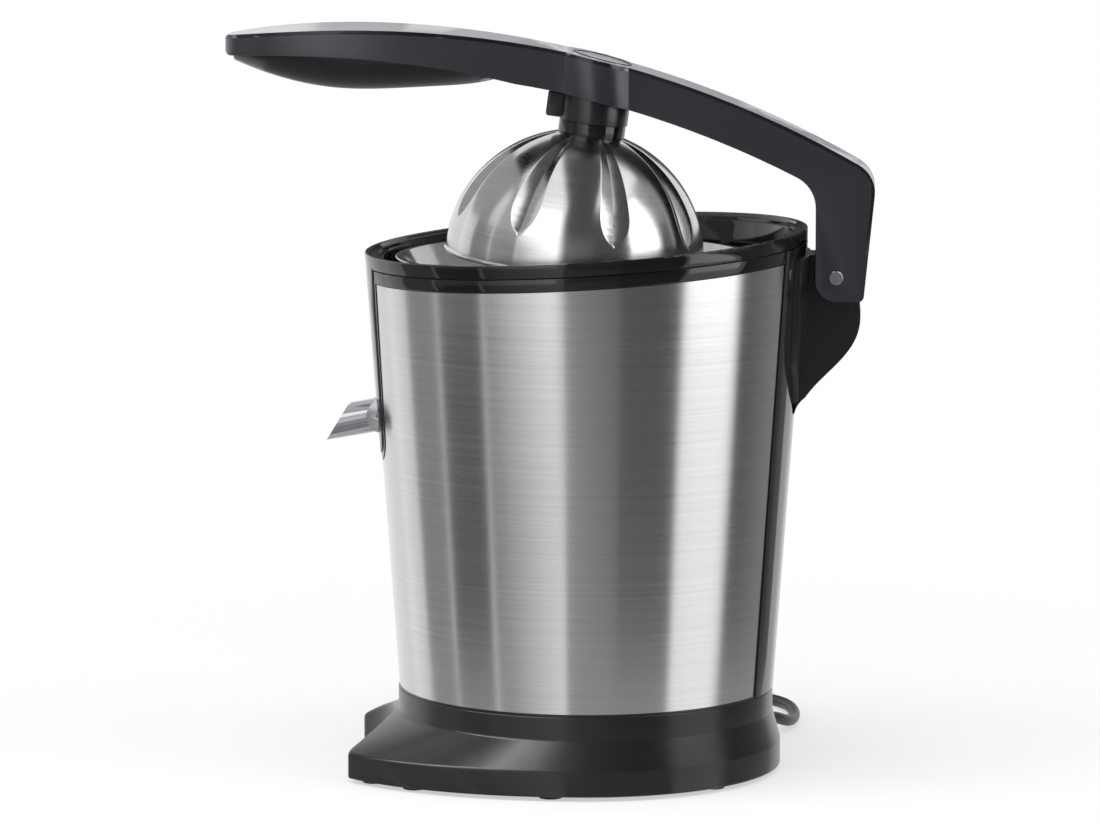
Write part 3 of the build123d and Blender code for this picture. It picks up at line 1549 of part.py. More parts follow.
with BuildPart() as cord_coil:
    with BuildLine() as coil_line:
        Line(coil_start, coil_nodes[0][0])
        wound_line(coil_nodes)
        Line(coil_nodes[-1][0], coil_stop)
    with BuildSketch(Plane(coil_start, z_dir=coil_nodes[0][1])):
        Circle(cord_r)
    sweep(path=coil_line.wire())
print("coil gap", round(least_gap(coil_line.wire(), cord_r), 3))
cord_coil.part.label = "cord_coil"
export_step(cord_coil.part, "parts/cord_coil.step")


def cord_line(points):
    """Straight runs joined by arcs that take up a set share of the shorter run."""
    here = points[0]
    for last, corner_at, ahead in zip(points, points[1:], points[2:]):
        come = (corner_at - last).normalized()
        go = (ahead - corner_at).normalized()
        share = bend_share * min((corner_at - last).length, (ahead - corner_at).length)
        half_turn = acos(come.dot(go)) / 2
        print("cord bend radius", round(share / tan(half_turn), 1))
        Line(here, corner_at - come * share)
        TangentArc(corner_at - come * share, corner_at + go * share, tangent=come)
        here = corner_at + go * share
    Line(here, points[-1])


# Lead from the gland down to the coil
gland_end = base_r + gland_collar + gland_l
gland_out = Vector(gland_dir[0], gland_dir[1], 0)
lead_start = Vector(0, axis_y, gland_z) + gland_out * gland_end
lead_points = [lead_start, lead_start + gland_out * lead_first]
lead_points += [Vector(x, axis_y + y, z) for x, y, z in lead_bends]
lead_points += [coil_start - coil_nodes[0][1] * lead_last, coil_start]
with BuildPart() as cord_lead:
    with BuildLine() as lead_line:
        cord_line(lead_points)
    with BuildSketch(Plane(lead_start, z_dir=gland_out)):
        Circle(cord_r)
    sweep(path=lead_line.wire())
cord_lead.part.label = "cord_lead"
export_step(cord_lead.part, "parts/cord_lead.step")

# Tail from the coil to the plug
plug_z = plug_h / 2 + cord_rest
tail_points = [coil_stop, coil_stop + coil_nodes[-1][1] * tail_runs[0]]
tail_points.append(Vector(tail_points[1].X, tail_points[1].Y - tail_runs[1], plug_z))
plug_at = tail_points[2] - Vector(0, tail_runs[2], 0)
tail_points.append(plug_at)
with BuildPart() as cord_tail:
    with BuildLine() as tail_line:
        cord_line(tail_points)
    with BuildSketch(Plane(coil_stop, z_dir=coil_nodes[-1][1])):
        Circle(cord_r)
    sweep(path=tail_line.wire())
cord_tail.part.label = "cord_tail"
export_step(cord_tail.part, "parts/cord_tail.step")

# Flat two-pin plug lying on the table
plug_back = Plane(plug_at, x_dir=(1, 0, 0), z_dir=(0, -1, 0))
with BuildPart() as plug_body:
    with BuildSketch(plug_back):
        RectangleRounded(plug_back_w, plug_back_h, plug_round)
    with BuildSketch(plug_back.offset(plug_l)):
        RectangleRounded(plug_front_w, plug_h, plug_round)
    loft()
plug_body.part.label = "plug_body"
export_step(plug_body.part, "parts/plug_body.step")

with BuildPart() as plug_pins:
    with BuildSketch(plug_back.offset(plug_l)):
        with GridLocations(plug_pin_gap, 0, 2, 1):
            Circle(plug_pin_r)
    extrude(amount=plug_pin_l)
plug_pins.part.label = "plug_pins"
export_step(plug_pins.part, "parts/plug_pins.step")
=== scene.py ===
from math import atan2, cos, hypot, pi, radians, sin, sqrt, tan

import bmesh
import bpy
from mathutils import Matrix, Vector


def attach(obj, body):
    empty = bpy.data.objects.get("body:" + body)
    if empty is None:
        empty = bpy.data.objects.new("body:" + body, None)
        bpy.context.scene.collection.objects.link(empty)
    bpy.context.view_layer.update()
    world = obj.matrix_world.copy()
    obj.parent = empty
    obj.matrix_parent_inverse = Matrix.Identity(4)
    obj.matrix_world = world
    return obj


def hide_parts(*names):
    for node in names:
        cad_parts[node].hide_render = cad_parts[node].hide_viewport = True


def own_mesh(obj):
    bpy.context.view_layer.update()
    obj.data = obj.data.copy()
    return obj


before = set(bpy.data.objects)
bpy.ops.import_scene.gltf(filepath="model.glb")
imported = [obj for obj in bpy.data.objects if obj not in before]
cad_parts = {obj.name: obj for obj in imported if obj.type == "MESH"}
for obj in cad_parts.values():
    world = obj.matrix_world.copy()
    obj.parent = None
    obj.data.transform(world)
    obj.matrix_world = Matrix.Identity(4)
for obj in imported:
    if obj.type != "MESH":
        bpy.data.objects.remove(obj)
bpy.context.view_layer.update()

# Camera and studio
# A long lens looks at the right flank from a little above. The press stands on a
# pale matt sweep under soft boxes; dark and bright cards round it and over it show
# in reflections only, as a photographer sets them for bare metal.
for leftover in ("Cube", "Light", "Camera"):
    if leftover in bpy.data.objects:
        bpy.data.objects.remove(bpy.data.objects[leftover])

scene = bpy.context.scene
scene.view_settings.view_transform = "Standard"
axis_y = 0.0156  # the body's upright axis


def place(obj):
    """Link an object to the scene."""
    scene.collection.objects.link(obj)
    return obj


def aim(obj, spot):
    """Turn a camera or a lamp towards a spot."""
    obj.rotation_euler = (Vector(spot) - obj.location).to_track_quat("-Z", "Y").to_euler()


view_angle = radians(92.9)
view_reach = 2.9
view_height = 0.558
view_spot = (0, 0, 0.156)
camera = place(bpy.data.objects.new("camera", bpy.data.cameras.new("camera")))
camera.data.lens = 220
camera.data.sensor_width = 36
camera.data.sensor_fit = "HORIZONTAL"
camera.location = (view_reach * sin(view_angle), -view_reach * cos(view_angle), view_height)
aim(camera, view_spot)
scene.camera = camera


def node(tree, kind, **values):
    """Node with settings by attribute name, and sockets by name or as s0, s1 and so on."""
    made = tree.nodes.new(kind)
    for key, value in values.items():
        if hasattr(made, key) and key not in made.inputs:
            setattr(made, key, value)
            continue
        socket = made.inputs[int(key[1:]) if key[0] == "s" and key[1:].isdigit() else key.replace("_", " ")]
        if isinstance(value, bpy.types.NodeSocket):
            tree.links.new(value, socket)
        else:
            socket.default_value = value
    return made


def math(tree, operation, a, b=0.0):
    """Result of a Math node on two numbers or sockets."""
    return node(tree, "ShaderNodeMath", operation=operation, s0=a, s1=b).outputs[0]


def seen_rays(tree):
    """One for rays from the camera, from gloss or through glass, else zero."""
    rays = node(tree, "ShaderNodeLightPath").outputs
    eye = math(tree, "MAXIMUM", rays["Is Camera Ray"], rays["Is Glossy Ray"])
    return math(tree, "MAXIMUM", eye, rays["Is Transmission Ray"])


world = bpy.data.worlds.new("soft_room")
scene.world = world
world.use_nodes = True
room = world.node_tree
room_light = room.nodes["Background"]
room_light.inputs["Color"].default_value = (0.97, 0.985, 1.0, 1)
room_light.inputs["Strength"].default_value = 0.52
room_white = node(room, "ShaderNodeBackground", Color=(1, 1, 1, 1), Strength=1.0)
room_mix = node(room, "ShaderNodeMixShader", s0=seen_rays(room))
room.links.new(room_light.outputs[0], room_mix.inputs[1])
room.links.new(room_white.outputs[0], room_mix.inputs[2])
room.links.new(room_mix.outputs[0], room.nodes["World Output"].inputs["Surface"])


def mesh_piece(name, verts, faces):
    """New mesh object from points in metres."""
    mesh = bpy.data.meshes.new(name)
    mesh.from_pydata(verts, [], faces)
    mesh.update()
    return place(bpy.data.objects.new(name, mesh))


def new_material(name):
    """Empty node material and its Principled shader."""
    material = bpy.data.materials.new(name)
    material.use_nodes = True
    return material, material.node_tree, material.node_tree.nodes["Principled BSDF"]


floor_half = 9.0
floor = mesh_piece(
    "floor",
    [(x * floor_half, y * floor_half, 0) for x, y in ((-1, -1), (1, -1), (1, 1), (-1, 1))],
    [(0, 1, 2, 3)],
)
paper, paper_tree, paper_shader = new_material("paper_sweep")
paper_shader.inputs["Base Color"].default_value = (0.92, 0.92, 0.92, 1)
paper_shader.inputs["Roughness"].default_value = 0.9
paper_shader.inputs["Specular IOR Level"].default_value = 0.0
paper_white = node(paper_tree, "ShaderNodeEmission", Color=(1, 1, 1, 1), Strength=1.0)
paper_spot = node(paper_tree, "ShaderNodeTexCoord").outputs["Object"]
paper_far = node(paper_tree, "ShaderNodeVectorMath", operation="LENGTH", s0=paper_spot).outputs["Value"]
paper_fade = node(
    paper_tree, "ShaderNodeMapRange", interpolation_type="SMOOTHSTEP", Value=paper_far,
    From_Min=0.15, From_Max=0.62, To_Min=0.55, To_Max=1.0,
).outputs[0]
paper_share = math(paper_tree, "MULTIPLY", paper_fade, seen_rays(paper_tree))
paper_mix = node(paper_tree, "ShaderNodeMixShader", s0=paper_share)
paper_tree.links.new(paper_shader.outputs[0], paper_mix.inputs[1])
paper_tree.links.new(paper_white.outputs[0], paper_mix.inputs[2])
paper_tree.links.new(paper_mix.outputs[0], paper_tree.nodes["Material Output"].inputs["Surface"])
floor.data.materials.append(paper)


def soft_box(name, angle, reach, height, size_x, size_y, watts, spot=(0, 0, 0.17)):
    """Area lamp at an angle round the press, counted from the camera."""
    lamp = bpy.data.lights.new(name, "AREA")
    lamp.shape = "RECTANGLE"
    lamp.size = size_x
    lamp.size_y = size_y
    lamp.energy = watts
    box = place(bpy.data.objects.new(name, lamp))
    turn = view_angle + radians(angle)
    box.location = (reach * sin(turn), -reach * cos(turn), height)
    aim(box, spot)
    box.visible_glossy = False
    return box


soft_box("top_box", -20, 0.7, 2.0, 1.8, 1.8, 26)
soft_box("left_box", -75, 1.8, 1.1, 1.0, 1.6, 11)
soft_box("right_box", 70, 1.8, 1.0, 0.9, 1.6, 9)


def compass(angle):
    """Level direction at an angle from the camera, seen from the press."""
    turn = view_angle + radians(angle)
    return Vector((sin(turn), -cos(turn), 0))


def reflect_only(card, tones):
    """Glow by a tone at each point of a card that only gloss can see."""
    shades = card.data.color_attributes.new("tone", "FLOAT_COLOR", "POINT")
    for i, tone in enumerate(tones):
        shades.data[i].color = (tone, tone * 1.004, tone * 1.016, 1)
    glow = bpy.data.materials.new(card.name)
    glow.use_nodes = True
    glow.cycles.emission_sampling = "NONE"
    tree = glow.node_tree
    tone_node = node(tree, "ShaderNodeVertexColor", layer_name="tone")
    lamp = node(tree, "ShaderNodeEmission", Color=tone_node.outputs["Color"], Strength=1.0)
    tree.links.new(lamp.outputs[0], tree.nodes["Material Output"].inputs["Surface"])
    card.data.materials.append(glow)
    card.visible_camera = card.visible_diffuse = card.visible_shadow = False
    card.visible_transmission = card.visible_volume_scatter = False


# Wall cards: how far out from the press they start, bend and stand, and their heights
card_foot = Vector((0, axis_y, 0.0006))
card_start, mat_near, mat_far, wall_out = 0.087, 0.13, 0.24, 0.42
wall_low, wall_glow, wall_high, wall_top = 0.12, 0.16, 0.42, 0.74
floor_lift = 0.44  # least tone of the mat close to the press


def wall_card(name, turn_from, turn_to, tone_from, tone_to, glow=1.0, strip=1.0):
    """Card along the way that the body's flank mirrors: a mat, a wall and a strip light on top."""
    steps, verts, faces, tones = 10, [], [], []
    for i in range(steps + 1):
        turn = turn_from + (turn_to - turn_from) * i / steps
        tone = tone_from + (tone_to - tone_from) * i / steps
        start = card_foot + compass(turn) * card_start
        near, bright = max(tone, floor_lift), tone * glow
        line = (
            (0.0, 0, near), (mat_near, 0, near), (mat_far, 0, tone), (wall_out, 0, tone),
            (wall_out, wall_low, tone), (wall_out, wall_glow, bright), (wall_out, wall_high, bright),
            (wall_out, wall_high, strip), (wall_out, wall_top, strip),
        )
        for out, z, shade in line:
            verts.append(start + compass(2 * turn) * out + Vector((0, 0, z)))
            tones.append(shade)
    rows = len(line)
    for i in range(steps):
        for j in range(rows - 1):
            a = rows * i + j
            faces.append((a, a + 1, a + rows + 1, a + rows))
    reflect_only(mesh_piece(name, verts, faces), tones)


def flat_card(name, corners, tones):
    """Four-cornered card; its corners come as two pairs, one for each side."""
    reflect_only(mesh_piece(name, corners, [(0, 1, 3, 2)]), tones)


ahead, aside = compass(0), compass(90)
ceiling_z, ceiling_back, ceiling_front = 1.05, -0.9, 1.5


def ceiling_card(name, left, right, tone_from, tone_to):
    """Level strip over the press, running from behind it towards the camera."""
    corners, tones = [], []
    for x, tone in ((left, tone_from), (right, tone_to)):
        for y in (ceiling_back, ceiling_front):
            corners.append(Vector((0, 0, ceiling_z)) + ahead * y + aside * x)
            tones.append(tone)
    flat_card(name, corners, tones)


wall_card("edge_white_card", -66, -57, 1.2, 0.9)
wall_card("edge_grey_card", -56, -44, 0.3, 0.35)
wall_card("left_dark_card", -43, -29, 0.14, 0.12, glow=3.0, strip=0.6)
wall_card("left_white_card", -28, -8, 0.27, 0.98, glow=2.2, strip=2.4)
wall_card("middle_grey_card", -6, 9, 0.42, 0.24, glow=0.6, strip=0.1)
wall_card("right_dark_card", 9, 26, 0.15, 0.11, glow=0.7, strip=0.1)
wall_card("right_white_card", 27, 43, 1.2, 1.35, glow=2.2, strip=2.6)
wall_card("right_edge_card", 45, 72, 0.10, 0.38, glow=1.2, strip=0.4)
ceiling_card("over_left_dark", -1.1, -0.64, 0.5, 0.2)
ceiling_card("over_left_white", -0.62, -0.10, 0.9, 1.4)
ceiling_card("over_middle", -0.09, 0.32, 0.1, 0.1)
ceiling_card("over_right_white", 0.33, 0.68, 1.3, 1.5)
ceiling_card("over_right_dark", 0.70, 1.2, 0.15, 0.5)
# An upright dark card behind the press, which its level gloss faces mirror
back_reach, back_sides, back_heights, back_tone = 0.55, (-0.14, 0.22), (0.10, 0.44), 0.08
back_corners = [
    aside * x - ahead * back_reach + Vector((0, axis_y, z)) for x in back_sides for z in back_heights
]
flat_card("back_dark_card", back_corners, [back_tone] * 4)
# A small card under the handle keeps its dark underside out of the bell's reflections
palm_half, palm_ends, palm_tone = 0.034, ((-0.135, 0.283), (-0.03, 0.292)), 0.45
palm_corners = [(x, y, z) for x in (-palm_half, palm_half) for y, z in palm_ends]
flat_card("under_palm_card", palm_corners, [palm_tone] * 4)

# Mains cord
# Round black two-core lead, 5.2 mm thick, with a moulded strain relief in the back
# of the base. What the picture does not show lies behind the press in a neat coil
# with a strap round it, and ends in a flat moulded two-pin plug.


def shader_group(name, ins, outs):
    """Node group with named sockets; returns its tree, inputs and outputs."""
    tree = bpy.data.node_groups.new(name, "ShaderNodeTree")
    for label, kind, value in ins:
        tree.interface.new_socket(label, in_out="INPUT", socket_type=kind).default_value = value
    for label, kind in outs:
        tree.interface.new_socket(label, in_out="OUTPUT", socket_type=kind)
    return tree, tree.nodes.new("NodeGroupInput"), tree.nodes.new("NodeGroupOutput")


# Skin of a moulded plastic: fine spark grain, slow drift of tone, smears of gloss
skin, skin_in, skin_out = shader_group(
    "moulded_skin",
    [
        ("Grain Size", "NodeSocketFloat", 0.0006),
        ("Roughness", "NodeSocketFloat", 0.4),
        ("Spread", "NodeSocketFloat", 0.06),
    ],
    [("Tone", "NodeSocketFloat"), ("Roughness", "NodeSocketFloat"), ("Height", "NodeSocketFloat")],
)
skin_place = node(skin, "ShaderNodeTexCoord").outputs["Object"]
skin_scale = math(skin, "DIVIDE", 1.0, skin_in.outputs["Grain Size"])
skin_grain = node(skin, "ShaderNodeTexNoise", Vector=skin_place, Scale=skin_scale, Detail=2.0)
skin_drift = node(skin, "ShaderNodeTexNoise", Vector=skin_place, Scale=21.0, Detail=4.0)
skin_smear = node(skin, "ShaderNodeTexNoise", Vector=skin_place, Scale=140.0, Detail=5.0)
skin_speck = math(skin, "MULTIPLY", skin_grain.outputs["Fac"], 0.6)
skin_tone = math(skin, "ADD", skin_drift.outputs["Fac"], skin_speck)
skin.links.new(math(skin, "SUBTRACT", skin_tone, 0.3), skin_out.inputs["Tone"])
skin_mix = math(skin, "ADD", skin_drift.outputs["Fac"], skin_smear.outputs["Fac"])
skin_mix = math(skin, "MULTIPLY", math(skin, "SUBTRACT", skin_mix, 1.0), skin_in.outputs["Spread"])
skin.links.new(math(skin, "ADD", skin_in.outputs["Roughness"], skin_mix), skin_out.inputs["Roughness"])
skin.links.new(skin_grain.outputs["Fac"], skin_out.inputs["Height"])


def between(tree, share, dark, light):
    """Colour between two tones by a share from a node."""
    tone = node(tree, "ShaderNodeMix", data_type="RGBA", s0=share)
    tone.inputs[6].default_value = (*dark, 1)
    tone.inputs[7].default_value = (*light, 1)
    return tone.outputs[2]


def plastic(name, dark, light, roughness, grain=0.0006, bump=0.00003, spread=0.06, specular=0.5):
    """Moulded plastic from the shared skin, between two close tones."""
    material, tree, shader = new_material(name)
    face = node(tree, "ShaderNodeGroup", node_tree=skin)
    face.inputs["Grain Size"].default_value = grain
    face.inputs["Roughness"].default_value = roughness
    face.inputs["Spread"].default_value = spread
    tree.links.new(between(tree, face.outputs["Tone"], dark, light), shader.inputs["Base Color"])
    tree.links.new(face.outputs["Roughness"], shader.inputs["Roughness"])
    relief = node(tree, "ShaderNodeBump", Height=face.outputs["Height"], Distance=bump, Strength=0.6)
    tree.links.new(relief.outputs["Normal"], shader.inputs["Normal"])
    shader.inputs["Specular IOR Level"].default_value = specular
    return material


cord_skin = plastic("cord_skin", (0.010, 0.010, 0.011), (0.018, 0.018, 0.019), 0.42)
cord_r = 0.0026
cord_lie = 0.00262  # height of the lead's middle where it lies on the table
gland_turn = radians(132)
gland_out = Vector((cos(gland_turn), sin(gland_turn), 0))
gland_foot = Vector((0, axis_y, 0.0092))
relief_end, lead_straight = 0.0992, 0.009
lead_start = gland_foot + gland_out * relief_end
route = [lead_start, lead_start + gland_out * lead_straight]
for x, y, z in (
    (-0.084, 0.0872, 0.0046),
    (-0.102, 0.0898, cord_lie),
    (-0.122, 0.0898, cord_lie),
    (-0.142, 0.085, cord_lie),
    (-0.157, 0.071, cord_lie),
):
    route.append(Vector((x, axis_y + y, z)))
coil_at = Vector((-0.130, axis_y + 0.025, 0))
turn_points = 12
strap_t = 0.0006
# The turns run in on the table, climb on to themselves and run out above
coil_r, coil_in_step, coil_tuck, coil_out_step = 0.034, 0.00145, 0.001, 0.00165
coil_rise, coil_loose = 0.0058, 1.015
climb_from, climb_to, coil_quarters = 8, 10, 16


def coil_place(quarters):
    """Place on the coil, counted in quarter turns: in below, up, and out above."""
    r = coil_r - coil_in_step * min(quarters, climb_from) + coil_out_step * max(0, quarters - climb_to)
    r -= coil_tuck * min(1, max(0, quarters - climb_from))
    climb = min(1, max(0, (quarters - climb_from) / (climb_to - climb_from)))
    z = cord_lie + strap_t + coil_rise * climb * climb * (3 - 2 * climb)
    turn = pi + quarters * pi / 2
    return coil_at + Vector((coil_loose * r * cos(turn), coil_loose * r * sin(turn), z))


coil_points = [coil_place(4 * i / turn_points) for i in range(coil_quarters * turn_points // 4 + 1)]
coil_in = (coil_points[1] - coil_points[0]).normalized()
coil_leave = (coil_points[-1] - coil_points[-2]).normalized()
run_in, tail_run, plug_z = 0.020, 0.0232, 0.00687
route.append(coil_points[0] - coil_in * run_in)
route += coil_points
tail_bend = coil_points[-1] + coil_leave * tail_run
route.append(tail_bend)
for plug_run in (0.020, 0.036):
    route.append(Vector((tail_bend.x, tail_bend.y - plug_run, plug_z)))

flex = bpy.data.curves.new("mains_cord", "CURVE")
flex.dimensions = "3D"
flex.bevel_depth = cord_r
flex.bevel_resolution = 5
flex.resolution_u = 6
flex_line = flex.splines.new("NURBS")
flex_line.points.add(len(route) - 1)
for point, spot in zip(flex_line.points, route):
    point.co = (*spot, 1)
flex_line.order_u = 3
flex_line.use_endpoint_u = True
mains_cord = place(bpy.data.objects.new("mains_cord", flex))
flex.materials.append(cord_skin)
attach(mains_cord, "housing")
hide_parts("cord_lead", "cord_coil", "cord_tail")


def smooth_by_angle(obj, angle):
    """Smooth shading that breaks at edges sharper than an angle in degrees."""
    for face in obj.data.polygons:
        face.use_smooth = True
    obj.data.set_sharp_from_angle(angle=radians(angle))


def fit(piece, body, slot, material, *nodes):
    """Give a piece its finish, its body and the solids that it stands for."""
    piece.data.materials.clear()
    piece.data.materials.append(material)
    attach(piece, body)
    if nodes:
        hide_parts(*nodes)
    return piece


edge_steps, edge_sharp = 3, radians(28)


def softened(name, source, edge, body, slot, material):
    """Copy of a solid's mesh with its sharp edges rounded by a small radius."""
    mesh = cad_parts[source].data.copy()
    mesh.name = name
    shape = bmesh.new()
    shape.from_mesh(mesh)
    bmesh.ops.remove_doubles(shape, verts=shape.verts, dist=2e-6)
    bmesh.ops.dissolve_limit(
        shape, angle_limit=radians(0.2), verts=shape.verts, edges=shape.edges, delimit={"NORMAL"}
    )
    crisp = [e for e in shape.edges if e.is_manifold and e.calc_face_angle(0) > edge_sharp]
    bmesh.ops.bevel(
        shape, geom=crisp, offset=edge, offset_type="OFFSET", segments=edge_steps,
        profile=0.5, affect="EDGES", clamp_overlap=True,
    )
    shape.to_mesh(mesh)
    shape.free()
    piece = place(bpy.data.objects.new(name, mesh))
    smooth_by_angle(piece, 35)
    return fit(piece, body, slot, material, source)


def turned(name, origin, along, profile):
    """Closed round piece from radius and length pairs along an axis."""
    sides = 56
    along = along.normalized()
    side = along.orthogonal().normalized()
    other = along.cross(side)
    verts, faces = [], []
    for r, s in profile:
        for k in range(sides):
            a = 2 * pi * k / sides
            verts.append(origin + along * s + (side * cos(a) + other * sin(a)) * r)
    rows = len(profile)
    for i in range(rows - 1):
        for k in range(sides):
            n = (k + 1) % sides
            faces.append((i * sides + k, i * sides + n, (i + 1) * sides + n, (i + 1) * sides + k))
    faces.append(tuple(reversed(range(sides))))
    faces.append(tuple(range((rows - 1) * sides, rows * sides)))
    piece = mesh_piece(name, verts, faces)
    smooth_by_angle(piece, 32)
    return piece


# Strain relief: a plain seat in the base, a thin flange, then ribs on a taper
relief_line = [
    (0.0034, 0.0775), (0.0037, 0.0779), (0.0037, 0.0856), (0.0043, 0.0858),
    (0.0045, 0.0861), (0.0045, 0.0870), (0.0042, 0.0873), (0.0036, 0.0874),
]
rib_count, rib_first, rib_pitch, rib_thick, rib_taper = 5, 0.0880, 0.0022, 0.00362, 0.00012
rib_end, groove_from, groove_to, groove_d = 0.0012, 0.0014, 0.0020, 0.00055
for rib in range(rib_count):
    s, r = rib_first + rib_pitch * rib, rib_thick - rib_taper * rib
    relief_line += [(r, s), (r, s + rib_end), (r - groove_d, s + groove_from), (r - groove_d, s + groove_to)]
relief_line += [(0.0030, 0.0990), (0.0028, relief_end)]
strain_relief = turned("strain_relief", gland_foot, gland_out, relief_line)
fit(strain_relief, "housing", "cord_black", cord_skin, "cord_gland")


def band_faces(cuts, rows, first=0, inside_out=False):
    """Faces of a closed band: a ring of cuts with the same number of corners in each."""
    faces = []
    for i in range(cuts):
        here, there = first + i * rows, first + (i + 1) % cuts * rows
        for j in range(rows):
            k = (j + 1) % rows
            if inside_out:
                faces.append((here + j, here + k, there + k, there + j))
            else:
                faces.append((here + j, there + j, there + k, here + k))
    return faces


# Strap: woven hook tape laid once round the bundle, with its tongue lapped over
weave, weave_in, weave_out = shader_group(
    "tape_weave",
    [("Pitch", "NodeSocketFloat", 0.0007)],
    [("Tone", "NodeSocketFloat"), ("Height", "NodeSocketFloat")],
)
weave_place = node(weave, "ShaderNodeTexCoord").outputs["Object"]
weave_rate = math(weave, "DIVIDE", 1.0, weave_in.outputs["Pitch"])
warp, weft = (
    node(
        weave, "ShaderNodeTexWave", Vector=weave_place, Scale=weave_rate,
        bands_direction=way, Distortion=wild,
    )
    for way, wild in (("Y", 0.6), ("DIAGONAL", 0.8))
)
weave_mix = math(weave, "MULTIPLY", warp.outputs["Fac"], weft.outputs["Fac"])
weave.links.new(weave_mix, weave_out.inputs["Tone"])
weave.links.new(weave_mix, weave_out.inputs["Height"])
tape, tape_tree, tape_shader = new_material("strap_tape")
tape_face = node(tape_tree, "ShaderNodeGroup", node_tree=weave)
tape_tree.links.new(
    between(tape_tree, tape_face.outputs["Tone"], (0.009, 0.009, 0.010), (0.028, 0.028, 0.030)),
    tape_shader.inputs["Base Color"],
)
tape_relief = node(
    tape_tree, "ShaderNodeBump", Height=tape_face.outputs["Height"], Distance=0.0002, Strength=0.7
)
tape_tree.links.new(tape_relief.outputs["Normal"], tape_shader.inputs["Normal"])
tape_shader.inputs["Roughness"].default_value = 0.85
strap_in, strap_out, strap_top = 0.0185, 0.0349, 0.0124
strap_half_w, strap_round, strap_lift = 0.0045, 0.0034, 0.00005
strap_step = 15  # degrees between points of a rounded corner
strap_line = []
for corner_r, corner_z, turn_from in (
    (strap_out - strap_round, strap_round, -90),
    (strap_out - strap_round, strap_top - strap_round, 0),
    (strap_in + strap_round, strap_top - strap_round, 90),
    (strap_in + strap_round, strap_round, 180),
):
    for step in range(90 // strap_step + 1):
        a = radians(turn_from + strap_step * step)
        strap_line.append((corner_r + strap_round * cos(a), corner_z + strap_round * sin(a), cos(a), sin(a)))
strap_verts = []
for r, z, out_r, out_z in strap_line:
    for off, w in ((0, -1), (0, 1), (-strap_t, 1), (-strap_t, -1)):
        spot = Vector((r + out_r * off, w * strap_half_w, z + out_z * off + strap_lift))
        strap_verts.append(coil_at + spot)
strap_faces = band_faces(len(strap_line), 4)
tongue_first = len(strap_verts)
tongue_half_w, tongue_lift, tongue_ends = 0.96 * strap_half_w, 0.0001, (0.0215, 0.0335)
for x in tongue_ends:
    for side, lift in ((-1, 0.0), (1, 0.0), (1, strap_t), (-1, strap_t)):
        strap_verts.append(coil_at + Vector((x, side * tongue_half_w, strap_top + lift + tongue_lift)))
for j in range(4):
    k = (j + 1) % 4
    strap_faces.append((tongue_first + j, tongue_first + 4 + j, tongue_first + 4 + k, tongue_first + k))
strap_faces.append(tuple(tongue_first + j for j in (3, 2, 1, 0)))
strap_faces.append(tuple(tongue_first + 4 + j for j in range(4)))
strap = mesh_piece("coil_strap", strap_verts, strap_faces)
smooth_by_angle(strap, 35)
fit(strap, "housing", "cord_black", tape)

plug = softened("plug_moulding", "plug_body", 0.0014, "housing", "cord_black", cord_skin)

# Base
# One-piece skirt moulded in dark satin plastic, with a collar that takes the body
# and two horns that reach round the foot of the glass. A flat plate, held by six
# screws, closes it below, and rubber feet are pressed into that plate.
satin = plastic(
    "satin_black", (0.0058, 0.0060, 0.0068), (0.0092, 0.0095, 0.0106), 0.25,
    grain=0.0005, bump=0.00001, specular=0.42,
)
base_r, base_nose = 0.0852, 0.120  # outline: round behind, drawn out in front
collar_r, collar_in, spigot_r = 0.0818, 0.0746, 0.0770
foot_z, band_z, collar_z, collar_top, spigot_top = 0.0018, 0.0130, 0.0258, 0.0360, 0.0420
wall_t, roof_z = 0.0028, 0.0104
glass_r = 0.0655
glass_at = Vector((0, -0.1495))
horn_round = 0.14  # share of the slope over which a horn's corner turns
no_cut = 9.0  # stands for a way that misses the glass's hollow
collar_round, slope_round, band_round, foot_round, lip_round = 0.0006, 0.0022, 0.0026, 0.0011, 0.0004
round_steps, round_most, round_least_angle = 5, 0.48, 0.05


def rounded(corners):
    """Line through corners, each given with the radius that rounds it."""
    line = []
    for i, (x, z, r) in enumerate(corners):
        here = Vector((x, z))
        if not r:
            line.append(here)
            continue
        back = Vector(corners[i - 1][:2]) - here
        on = Vector(corners[i + 1][:2]) - here
        half = max(round_least_angle, back.angle(on) / 2)
        run = min(r / tan(half), round_most * back.length, round_most * on.length)
        start, end = here + back.normalized() * run, here + on.normalized() * run
        for k in range(round_steps + 1):
            t = k / round_steps
            line.append(start * (1 - t) ** 2 + here * 2 * t * (1 - t) + end * t * t)
    return line


def slope_end(turn):
    """Where the slope starts at an angle, its way, and the share of it outside the glass's hollow."""
    start = Vector((collar_r * cos(turn), collar_r * sin(turn)))
    way = Vector((base_r * cos(turn), (base_nose if sin(turn) < 0 else base_r) * sin(turn))) - start
    off = start - glass_at
    b, c = off.dot(way) / way.length_squared, (off.length_squared - glass_r**2) / way.length_squared
    cut = -b - sqrt(b * b - c) if b < 0 and b * b > c else no_cut
    near = max(0.0, horn_round - abs(cut - 1))
    return start, way, min(cut, 1) - near * near / (4 * horn_round)


